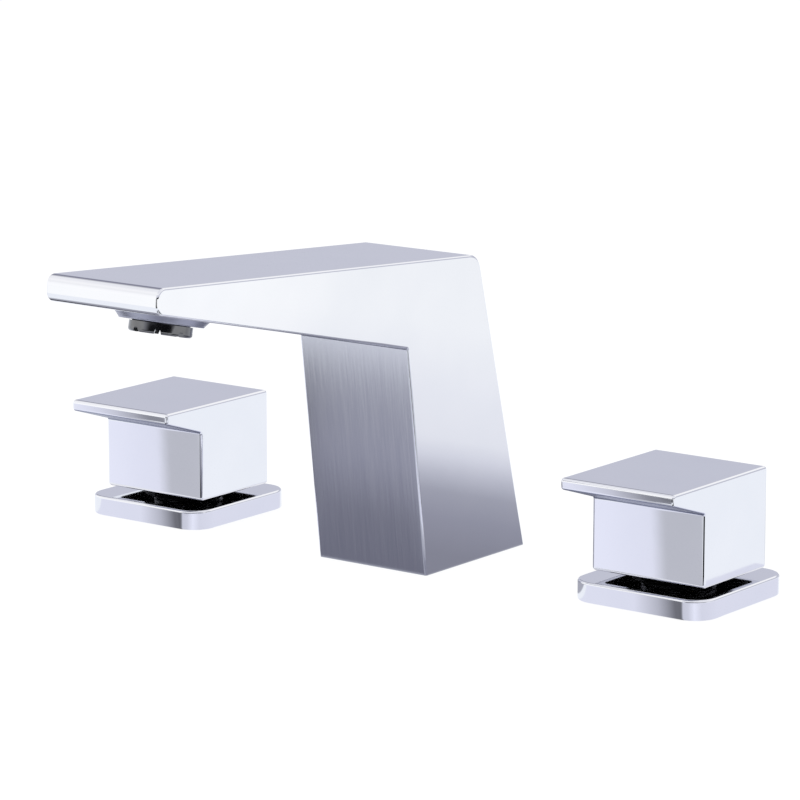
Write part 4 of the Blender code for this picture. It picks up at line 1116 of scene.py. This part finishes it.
def spout_tee():
    """The tee that the two supply hoses feed, on the shank's lower end."""
    socket_floor = -SHANK_BELOW - FIT - TEE_WASHER - FIT
    top = socket_floor + TEE_SOCKET
    bottom = top - TEE_HEIGHT
    arm_height = bottom + TEE_RADIUS / 2 + TEE_ARM_RADIUS / 2
    arm_start = (0.0, 0.0, arm_height)
    profile = [(0.0, bottom), *eased_side(TEE_RADIUS, bottom, top, TEE_EDGE), (0.0, top)]
    tee = fine("spout_tee", turned(profile))
    for heading in (-1, 1):
        arm = nipple(TEE_ARM_RADIUS, 0.0, TEE_RADIUS + THREAD_START, TEE_ARM_REACH)
        join(tee, turn_to(arm, (heading, 0, 0), arm_start))
    reach = TEE_ARM_REACH + OVERRUN
    through = turn_to(rod(TEE_ARM_BORE, -reach, reach), (1, 0, 0), arm_start)
    sump = arm_height - TEE_ARM_BORE / 2
    cut(tee, through, stacked(sump, (SHANK_BORE, socket_floor), (SHANK_RADIUS + FIT, top + OVERRUN)))
    dress(tee, "brass", "spout_tee")


def round_seal(node, place=(0.0, 0.0, 0.0)):
    """A rubber ring of round section, as large as the solid that it replaces."""
    low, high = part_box(node)
    section = (high.z - low.z) / 2
    centre = ((high.x - low.x) / 2 - section, (high.z + low.z) / 2)
    ring = turned(arc(centre, section, 0.0, 360.0, SEAL_STEPS)[1:])
    dress(fine(node, ring), "rubber", node, place)


def set_screw(side, axis):
    """The grub screw that clamps the handle to its adapter, reached through the back wall."""
    node = side + "_set_screw"
    near = ADAPTER_RADIUS + FIT
    end = HANDLE_DEPTH / 2 - SCREW_SUNK
    thread = (SCREW_RADIUS, near + SCREW_POINT, end, SCREW_THREAD)
    shape = turned([(0.0, near), (SCREW_RADIUS - SCREW_POINT, near), thread, (0.0, end)], THREAD_SIDES)
    screw = fine(node, turn_to(shape, SCREW_HEADING, SCREW_ORIGIN))
    socket = prism(hexagon(SCREW_SOCKET_FLATS), end - SCREW_SOCKET_DEPTH, end + OVERRUN)
    cut(screw, turn_to(socket, SCREW_HEADING, SCREW_ORIGIN))
    dress(screw, "steel", node, axis)


def escutcheon_nut(side, axis):
    """The thin ring nut, sunk in the escutcheon under the handle, that draws the plate down."""
    node = side + "_escutcheon_nut"
    low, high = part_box(node)
    inner = VALVE_RADIUS + FIT
    outer = inner + RING_NUT_WIDTH
    nut = fine(node, eased_tube(inner, outer, low.z, high.z, WASHER_EDGE))
    near = inner + RING_NUT_WIDTH / 2
    far = outer + OVERRUN
    half = RING_NUT_NOTCH / 2
    notches = []
    for left, right in ((-far, -near), (near, far)):
        notch = rectangle(left, right, -half, half)
        notches.append(prism(notch, high.z - RING_NUT_HEIGHT / 2, high.z + OVERRUN))
    cut(nut, together(notches))
    # The ring nut gets the painted shadow finish, a near-black stand-in for the shade in the gap under the
    # handle
    dress(nut, "plastic", node, axis, finish="darkened")


# Faces above the plate show in the gap under the handle and get the painted shadow finish
def above_plate(centre, normal):
    return centre.z > PLATE_THICKNESS - RING_NUT_HEIGHT


def valve_body(side, turn, axis):
    """The brass body: a feed up its middle to the seat, and a return beside it to the side outlet."""
    node = side + "_valve_body"
    seat_radius = FEED_RADIUS + SEAT_BOSS_WALL
    chamber_floor = SEAT - SEAT_BOSS_HEIGHT
    hub_bottom = VALVE_HUB_TOP - VALVE_HUB_HEIGHT
    inlet_bottom = hub_bottom - VALVE_INLET_LENGTH
    profile = [
        (FEED_RADIUS, SEAT),
        (seat_radius, SEAT),
        (seat_radius, chamber_floor),
        (CARTRIDGE_BORE, chamber_floor),
        (CARTRIDGE_BORE, VALVE_TOP),
        (VALVE_RADIUS, VALVE_TOP, VALVE_HUB_TOP + THREAD_START, PIPE_THREAD),
        (VALVE_RADIUS, VALVE_HUB_TOP),
        *reversed(eased_side(VALVE_HUB_RADIUS, hub_bottom, VALVE_HUB_TOP, VALVE_HUB_EDGE)),
        (VALVE_INLET_RADIUS, hub_bottom),
        (VALVE_INLET_RADIUS, hub_bottom - THREAD_START, inlet_bottom, PIPE_THREAD),
        (VALVE_INLET_BORE, inlet_bottom),
        (VALVE_INLET_BORE, hub_bottom),
        (FEED_RADIUS, hub_bottom + VALVE_INLET_BORE - FEED_RADIUS),
    ]
    body = fine(node, turned(profile, THREAD_SIDES))
    outlet_height = (VALVE_HUB_TOP + hub_bottom) / 2
    start = (0.0, 0.0, outlet_height)
    heading = (turn, 0, 0)
    thread_start = VALVE_HUB_RADIUS + THREAD_START
    outlet = nipple(SIDE_OUTLET_RADIUS, VALVE_RADIUS, thread_start, SIDE_OUTLET_REACH)
    join(body, turn_to(outlet, heading, start))
    return_inner = seat_radius + RETURN_WALL
    return_outer = CARTRIDGE_BORE - RETURN_WALL
    middle = 0.0 if turn > 0 else 180.0
    low = outlet_height - SIDE_OUTLET_BORE / 2
    channel = sector(return_inner, return_outer, middle, RETURN_SWEEP, low, chamber_floor + OVERRUN)
    outwards = rod(SIDE_OUTLET_BORE, (return_inner + return_outer) / 2, SIDE_OUTLET_REACH + OVERRUN)
    cut(body, channel, turn_to(outwards, heading, start))
    # What shows in the gap under the handle is painted near black, a painted shadow
    dress(body, "brass", node, axis, extra=[("darkened", above_plate)])


def cartridge(side, turn, axis):
    """The brass bonnet and sleeve that hold the discs and stop the stem a quarter turn apart."""
    node = side + "_cartridge"
    low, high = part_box(node)
    sleeve_bore = DISC_RADIUS + FIT
    sleeve_radius = sleeve_bore + SLEEVE_WALL
    stem_bore = STEM_RADIUS + FIT
    thread_bottom = VALVE_TOP - BONNET_THREAD_HEIGHT
    hex_bottom = VALVE_TOP + FIT
    hex_top = hex_bottom + BONNET_HEX_HEIGHT
    hex_middle = (hex_bottom + hex_top) / 2
    bonnet_top = hex_top + BONNET_NECK_HEIGHT
    bonnet_radius = CARTRIDGE_BORE - FIT
    groove_radius = bonnet_radius - RING_GROOVE_DEPTH
    groove_low = thread_bottom + BONNET_RING_RISE
    groove_high = groove_low + RING_GROOVE_HEIGHT
    stop_bore = BONNET_NECK_RADIUS - STOP_WALL
    profile = [
        (sleeve_bore, low.z),
        (sleeve_radius, low.z),
        (sleeve_radius, thread_bottom),
        (bonnet_radius, thread_bottom),
        (bonnet_radius, groove_low),
        (groove_radius, groove_low),
        (groove_radius, groove_high),
        (bonnet_radius, groove_high, hex_bottom - FIT, SMALL_THREAD),
        (bonnet_radius, hex_middle),
        (BONNET_NECK_RADIUS, hex_middle),
        (BONNET_NECK_RADIUS, high.z),
        (stop_bore, high.z),
        (stop_bore, bonnet_top),
        (stem_bore, bonnet_top),
        (stem_bore, thread_bottom + FIT),
        (sleeve_bore, thread_bottom + FIT),
    ]
    body = fine(node, turned(profile, THREAD_SIDES))
    hex_ring = solid("hex", prism(hexagon(BONNET_FLATS), hex_bottom, hex_top))
    hex_bore = rod((stem_bore + BONNET_NECK_RADIUS) / 2, hex_bottom - OVERRUN, hex_top + OVERRUN)
    cut(hex_ring, hex_bore, bevel(BONNET_FLATS, BONNET_CHAMFER, hex_top, -1))
    join(body, hex_ring)
    stop_sweep = HANDLE_TRAVEL + LUG_SWEEP + 2 * LUG_PLAY
    stop_middle = CLOSED_ANGLE + turn * HANDLE_TRAVEL / 2
    reach = BONNET_NECK_RADIUS + OVERRUN
    windows = [sector(stem_bore / 2, reach, stop_middle, stop_sweep, bonnet_top, high.z + OVERRUN)]
    disc_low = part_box(side + "_moving_disc")[0].z
    flange_low = thread_bottom - STEM_FLANGE
    near = sleeve_bore - SLEEVE_WALL
    far = sleeve_radius + OVERRUN
    for middle in (90.0, 270.0):
        windows.append(sector(near, far, middle, SLEEVE_WINDOW_SWEEP, disc_low, flange_low))
    key = rectangle(-far, far, -DISC_KEY_WIDTH / 2, DISC_KEY_WIDTH / 2)
    cut(body, together(windows), prism(key, low.z - OVERRUN, disc_low))
    # What shows in the gap under the handle is painted near black, a painted shadow
    dress(body, "brass", node, axis, extra=[("darkened", above_plate)])


def carried_over():
    """Every CAD node that still shows gets its slot's material."""
    for subpart in frame["record"]["subparts"]:
        node = frame["nodes"][subpart["node"]]
        node.data.materials.clear()
        node.data.materials.append(MATERIALS[subpart["material_slot"]])


# Floor, seen white, and painted with soft patches in reflections only: painted reflections and painted
# shade
WHITE = (1.0, 1.0, 1.0)
FLOOR_DROP = 0.0002
FLOOR_REACH = 12.0
FLOOR_GLOW = 0.90
FLOOR_DIFFUSE = (0.16, 0.16, 0.165)
FLOOR_PLAIN = (0.8, 0.8, 0.81)


def floor():
    bm = bmesh.new()
    outline = rectangle(-FLOOR_REACH, FLOOR_REACH, -FLOOR_REACH, FLOOR_REACH)
    bm.faces.new([bm.verts.new(point) for point in at_height(outline, -FLOOR_DROP)])
    sheet = solid("floor", bm)
    sheet.data.materials.append(floor_material())
    sheet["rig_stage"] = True


def floor_material():
    made, s = material("floor")
    x, y = s.split(s.node("ShaderNodeNewGeometry").outputs["Position"])[:2]
    path = s.node("ShaderNodeLightPath").outputs

    def shader(kind, inputs):
        return s.node("ShaderNode" + kind, inputs).outputs[0]

    glow = shader("Emission", {"Color": WHITE, "Strength": FLOOR_GLOW})
    seen = shader("AddShader", {0: glow, 1: shader("BsdfDiffuse", {"Color": FLOOR_DIFFUSE})})
    # Glossy and transmission rays see the painted reflections instead of the plain floor
    mirrored = shader("Emission", {"Color": painted_floor_reflection(s, x, y), "Strength": 1.0})
    plain = shader("BsdfDiffuse", {"Color": FLOOR_PLAIN})
    unseen = shader("MixShader", {0: s.is_mirrored(path), 1: plain, 2: mirrored})
    both = shader("MixShader", {0: path["Is Camera Ray"], 1: unseen, 2: seen})
    s.node("ShaderNodeOutputMaterial", {"Surface": both})
    return made


# Painted reflections: the floor that polished metal mirrors gets, where each face's reflection falls, the
# grey that the face is to show. A slant is how far a reflection moves along X for each metre that it moves
# along Y. A shade is a range of degrees about an upright corner, from -Y towards +X. The painted patches
# fade over the soft widths.
SOFT = 0.004
SOFT_ANGLE = 4.0
CRISP = 0.0008
PLATE_SOFT = 0.001
MIRRORED_WHITE = (0.92, 0.95, 1.01)
BRIGHT_WHITE = (1.06, 1.07, 1.08)
PAINTED_DARK = grey(0.02)
LIP_SHINE = (-0.45, -0.40)
HOT_SLANT = 0.866
COLD_SLANT = 0.672
PLATE_ZONE = (-0.049, -0.020)
PLATE_LEVELS = ((0.0, 0.80), (0.50, 0.78), (0.68, 0.5), (0.81, 0.17))
FRONT_ZONE = (-0.155, -0.049)
FRONT_LEVELS = ((0.0, 0.87), (0.55, 0.80), (0.66, 0.53, 1.14))
LIP_ZONE = (-0.30, -0.155)
LIP_LEVELS = ((0.1, 0.82), (0.45, 0.62), (0.78, 0.27))
EDGE_SHADE = (-33.0, 45.0)
COLD_EDGE_SHADE = (-12.0, 50.0)
HANDLE_EDGE_ZONE = (-0.17, -0.05)
LIP_EDGE_SHADE = (-33.0, 22.0)
LIP_EDGE_REACH = (0.172, 0.222)
LIP_EDGE_DARK = grey(0.05)

# The plate's round corner, by the way it faces in degrees, and where its side's reflection ends
CORNER_LEVELS = (
    (0.0, 0.14),
    (4.0, 0.20),
    (8.0, 0.62),
    (20.0, 0.66),
    (34.0, 0.86),
    (50.0, 0.72),
    (90.0, 0.76),
)
CORNER_SHINE = 0.033
PLATE_SHINE = 0.0205
SHINE_STEP = (0.008, 0.014)
PLATE_REACH = 0.027

# The leg's front, from its foot up to the crotch, and its right edge
LEG_SLANT = 0.754
LEG_REACH = 0.145
LEG_BESIDE = 0.010
LEG_SOFT = 0.010
LEG_BEYOND = 0.012
LEG_LEVELS = (
    (0.0, 0.165, 1.30),
    (0.25, 0.185, 1.28),
    (0.50, 0.315, 1.24),
    (0.76, 0.29, 1.22),
    (0.88, 0.30, 1.20),
    (1.0, 0.53, 1.14),
)
LEG_EDGE_SHADE = (-34.0, 150.0)
LEG_EDGE_REACH = 0.074
LEG_EDGE_START = 0.01
LEG_EDGE_GREY = grey(0.42)

# The spout's right side, even along X
SIDE_SLANT = 0.754
SIDE_REACH = 0.40
SIDE_START = 0.012
SIDE_END = (0.05, 0.07)
SIDE_LEVELS = (
    (0.0, 0.25, 1.26),
    (0.11, 0.305, 1.26),
    (0.19, 0.375, 1.22),
    (0.25, 0.53, 1.18),
    (0.31, 0.71, 1.14),
    (0.37, 0.83, 1.10),
    (0.55, 0.87, 1.09),
    (0.85, 0.96, 1.05),
)
UNDERSIDE_REACH = (0.225, 0.31)
ARM_SHINE = (-0.170, -0.060)
ARM_SHINE_START = (0.29, 0.33)
ARM_SHINE_SHARE = 0.8


def slanted(x, y, slant, face):
    """Where along the face at Y = face a floor point's mirror image shows."""
    return x - (y - face) * slant


def distance(s, x, y, corner):
    away_x = x - corner[0]
    away_y = y - corner[1]
    return s.math("SQRT", away_x * away_x + away_y * away_y)


def fan(s, x, y, corner):
    """The angle in degrees, about an upright corner, from -Y towards +X."""
    return s.math("DEGREES", s.math("ARCTAN2", x - corner[0], corner[1] - y))


def edge_seen(s, x, y, corner, shade):
    """1 over a range of degrees about an upright rounded edge, which mirrors that part of the floor."""
    return s.band(fan(s, x, y, corner), *shade, SOFT_ANGLE)


def painted_floor_reflection(s, x, y):
    """What polished metal sees of the floor: white, with soft dark patches painted where faces mirror it,
    which are painted reflections and painted shade.
    """
    colour = MIRRORED_WHITE
    for joint in frame["joints"]:
        colour = painted_handle_reflections(s, x, y, joint["pos_m"][0], colour)
    before_lip = s.ease(y, *LIP_SHINE, 1.0, 0.0)
    colour = s.mix(before_lip, colour, BRIGHT_WHITE)
    edge = edge_seen(s, x, y, (SPOUT_WIDTH / 2, -SPOUT_TIP_FORWARD), EDGE_SHADE)
    colour = s.mix(edge * before_lip, colour, PAINTED_DARK)
    colour = painted_leg_reflection(s, x, y, colour)
    return painted_side_reflection(s, x, y, colour)


def painted_handle_reflections(s, x, y, axis, colour):
    """The plate, the block and the lip each mirror a zone of their own in front of the handle, painted with
    the greys that they are to show.
    """
    slant = HOT_SLANT if axis < 0 else COLD_SLANT
    half = PLATE_SIDE / 2
    side = axis + HANDLE_WIDTH / 2
    front = -HANDLE_DEPTH / 2
    zones = (
        (PLATE_ZONE, -half, PLATE_LEVELS),
        (FRONT_ZONE, front, FRONT_LEVELS),
        (LIP_ZONE, front - HANDLE_LIP, LIP_LEVELS),
    )
    for zone, face, levels in zones:
        along = slanted(x, y, slant, face)
        seen = s.band(along, axis - half, axis + half, SOFT) * s.band(y, *zone, SOFT)
        colour = s.mix(seen, colour, s.greys((along - (axis - half)) / PLATE_SIDE, levels))
    edge = edge_seen(s, x, y, (side, front), EDGE_SHADE if axis < 0 else COLD_EDGE_SHADE)
    colour = s.mix(edge * s.band(y, *HANDLE_EDGE_ZONE, SOFT), colour, PAINTED_DARK)
    if axis > 0:
        lip_corner = (side, front - HANDLE_LIP)
        away = s.band(distance(s, x, y, lip_corner), *LIP_EDGE_REACH, SOFT)
        colour = s.mix(edge_seen(s, x, y, lip_corner, LIP_EDGE_SHADE) * away, colour, LIP_EDGE_DARK)

    corner = half - PLATE_CORNER
    facing = corner_facing(s, x, y, (axis + corner, -corner), PLATE_CORNER)
    last = CORNER_LEVELS[-1][0]
    levels = [(angle / last, level) for angle, level in CORNER_LEVELS]
    past_front = s.past(slanted(x, y, slant, -half) - (axis + corner), 0.0, CRISP)
    beside = s.math("MAXIMUM", past_front, s.past(x, axis + half, CRISP))
    end = s.ease(y, *SHINE_STEP, axis + half + CORNER_SHINE, axis + half + PLATE_SHINE)
    seen = beside * s.ease(x - end, 0.0, PLATE_SOFT, 1.0, 0.0)
    seen = seen * s.band(y, -half - PLATE_REACH, half + PLATE_REACH, PLATE_SOFT)
    return s.mix(seen, colour, s.greys(facing / last, levels))


def corner_facing(s, x, y, centre, radius):
    """Which way a round upright corner faces, in degrees from -Y, where it mirrors a floor point."""
    reach = distance(s, x, y, centre)
    azimuth = math.degrees(CAMERA_AZIMUTH)
    above = reach * (fan(s, x, y, centre) + azimuth) - radius * azimuth
    return above / (reach * 2.0 - radius)


def painted_leg_reflection(s, x, y, colour):
    """The painted dark patch that the leg's front mirrors, from its foot up to the crotch, darkest near the
    foot: a painted reflection and painted shade.
    """
    front = -SPOUT_BASE_DEPTH / 2
    far = front - LEG_REACH
    half = SPOUT_WIDTH / 2 + LEG_BESIDE
    across = s.band(slanted(x, y, LEG_SLANT, front), -half, half, LEG_SOFT)
    seen = across * s.band(y, far - LEG_BEYOND, front, SOFT)
    colour = s.mix(seen, colour, s.greys((front - y) / LEG_REACH, LEG_LEVELS))
    edge = edge_seen(s, x, y, (SPOUT_WIDTH / 2, front), LEG_EDGE_SHADE)
    edge = edge * s.ease(y, far, far + LEG_EDGE_START)
    clear = slanted(x, y, COLD_SLANT, -HANDLE_DEPTH / 2)
    edge = edge * s.ease(clear, LEG_EDGE_REACH - SOFT, LEG_EDGE_REACH, 1.0, 0.0)
    return s.mix(edge, colour, LEG_EDGE_GREY)


def painted_side_reflection(s, x, y, colour):
    """The grey patch painted beside and behind the spout that its right side mirrors, a painted reflection.
    """
    side = SPOUT_WIDTH / 2
    along = y - (x - side) / SIDE_SLANT
    start = s.ease(x, *UNDERSIDE_REACH, -SPOUT_CROTCH_FORWARD - SIDE_START, -SPOUT_TIP_FORWARD)
    seen = s.past(along - start, 0.0, 2 * SOFT) * s.ease(along, *SIDE_END, 1.0, 0.0) * s.past(x, side, SOFT)
    colour = s.mix(seen, colour, s.greys(y / SIDE_REACH, SIDE_LEVELS))
    shine = s.ease(along, *ARM_SHINE, ARM_SHINE_SHARE, 0.0) * s.ease(x, *ARM_SHINE_START)
    return s.mix(shine, colour, BRIGHT_WHITE)


# The studio round it, by how high one looks: 0 at the horizon and 1 straight up
SKY_WHITE = (1.0, 1.0, 1.02)
SKY_PLAIN = (0.80, 0.80, 0.82)
BACKDROP = (0.565, 0.577, 0.672)
OVERHEAD = (0.80, 0.81, 0.87)
FLANK = grey(0.25, 1.30)
TOP = ((0.66, SKY_WHITE), (0.86, OVERHEAD), (1.0, OVERHEAD))
BACK_STOPS = ((0.0, BACKDROP), (0.34, BACKDROP), (0.50, SKY_WHITE), *TOP)
LEFT_STOPS = (
    (0.0, BACKDROP),
    (0.30, BACKDROP),
    (0.36, FLANK),
    (0.74, FLANK),
    (0.82, SKY_WHITE),
    (0.92, OVERHEAD),
    (1.0, OVERHEAD),
)
FRONT_STOPS = ((0.0, (0.80, 0.81, 0.88)), (0.5, (0.66, 0.67, 0.76)), *TOP)
PALE_STOPS = ((0.0, (1.08, 1.085, 1.10)), (0.25, (1.05, 1.055, 1.07)), (0.5, (0.95, 0.955, 0.98)), *TOP)
LEFT_SLOPE = 1.35
LEFT_EDGE = (-0.1, 0.1)
BACK_EDGE = (0.1, 0.5)
PALE_EDGE = (-0.5, -0.3)
# A dark patch low towards the camera's side, seen only in reflections: a painted reflection that darkens
# what faces that way, such as the middle of the aerator
PAINTED_PATCH_HEADING = (0.59, -0.78)
PAINTED_PATCH_SIDE = (0.50, 0.80)
PAINTED_PATCH_TOP = (0.215, 0.245)


def world():
    """A pale studio: a lavender-grey backdrop low behind, white above and in front, and a painted dark
    patch low in front that only reflections show.
    """
    made = bpy.data.worlds.new("studio")
    made.use_nodes = True
    bpy.context.scene.world = made
    s = Shader(made.node_tree)
    x, y, z = s.split(s.node("ShaderNodeTexCoord").outputs["Generated"])
    leftwards = s.ease(y + x * LEFT_SLOPE, *LEFT_EDGE, 1.0, 0.0)
    behind = s.mix(leftwards, s.ramp(z, BACK_STOPS), s.ramp(z, LEFT_STOPS))
    before = s.mix(s.ease(x, *PALE_EDGE), s.ramp(z, PALE_STOPS), s.ramp(z, FRONT_STOPS))
    mirrored = s.mix(s.ease(y, *BACK_EDGE), before, behind)
    # The painted reflection: dark where one looks low towards the camera's side
    towards = x * PAINTED_PATCH_HEADING[0] + y * PAINTED_PATCH_HEADING[1]
    painted_dark_patch = s.ease(towards, *PAINTED_PATCH_SIDE) * s.ease(z, *PAINTED_PATCH_TOP, 1.0, 0.0)
    mirrored = s.mix(painted_dark_patch, mirrored, PAINTED_DARK)
    path = s.node("ShaderNodeLightPath").outputs
    unseen = s.mix(s.is_mirrored(path), SKY_PLAIN, mirrored)
    colour = s.mix(path["Is Camera Ray"], unseen, WHITE)
    background = s.node("ShaderNodeBackground", {"Color": colour})
    s.node("ShaderNodeOutputWorld", {"Surface": background.outputs[0]})


# Soft square lamps that look at the origin and aren't mirrored themselves
LAMP_SIZE = 0.8
LAMPS = {
    "key_light": ((-0.6, -0.7, 1.1), 4.0),
    "fill_light": ((0.9, -0.5, 0.8), 1.5),
}


def lamps():
    for name, (location, power) in LAMPS.items():
        light = bpy.data.lights.new(name, "AREA")
        light.size = LAMP_SIZE
        light.energy = power
        obj = bpy.data.objects.new(name, light)
        obj.location = location
        obj.rotation_euler = Vector(location).to_track_quat("Z", "Y").to_euler()
        obj.visible_glossy = False
        bpy.context.scene.collection.objects.link(obj)


def camera():
    a = CAMERA_AZIMUTH
    e = CAMERA_ELEVATION
    right = Vector((math.cos(a), math.sin(a), 0.0))
    up = Vector((-math.sin(a) * math.sin(e), math.cos(a) * math.sin(e), math.cos(e)))
    back = Vector((math.sin(a) * math.cos(e), -math.cos(a) * math.cos(e), math.sin(e)))
    data = bpy.data.cameras.new("camera")
    data.sensor_width = SENSOR
    data.lens = LENS
    obj = bpy.data.objects.new("camera", data)
    place = back * CAMERA_DISTANCE - right * CAMERA_RIGHT + up * CAMERA_UP
    obj.matrix_world = Matrix.Translation(place) @ Matrix((right, up, back)).transposed().to_4x4()
    bpy.context.scene.collection.objects.link(obj)
    bpy.context.scene.camera = obj


def main():
    carried_over()
    spout_body()
    aerator()
    dress(fine("spout_gasket", gasket_ring(0.0, 0.0, GASKET_HEIGHT)), "rubber", "spout_gasket")
    spout_shank()
    round_seal("spout_shank_o_ring")
    spout_tee()
    deck_clamp("spout", SHANK_RADIUS, SPOUT_NUT_FLATS)
    for joint in frame["joints"]:
        side = joint["name"].split("_")[0]
        axis = joint["pos_m"]
        turn = 1 if side == "hot" else -1
        handle(side, axis)
        set_screw(side, axis)
        escutcheon(side, axis)
        escutcheon_nut(side, axis)
        valve_body(side, turn, axis)
        cartridge(side, turn, axis)
        round_seal(side + "_cartridge_o_ring", axis)
        round_seal(side + "_stem_o_ring", axis)
        deck_clamp(side, VALVE_RADIUS, VALVE_NUT_FLATS, axis)
    floor()
    world()
    lamps()
    camera()
    bpy.context.scene.view_settings.view_transform = "Standard"


main()
boxes = {"cad": cad_box, "visual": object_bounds()}
{name: [list(corner) for corner in box] for name, box in boxes.items()}
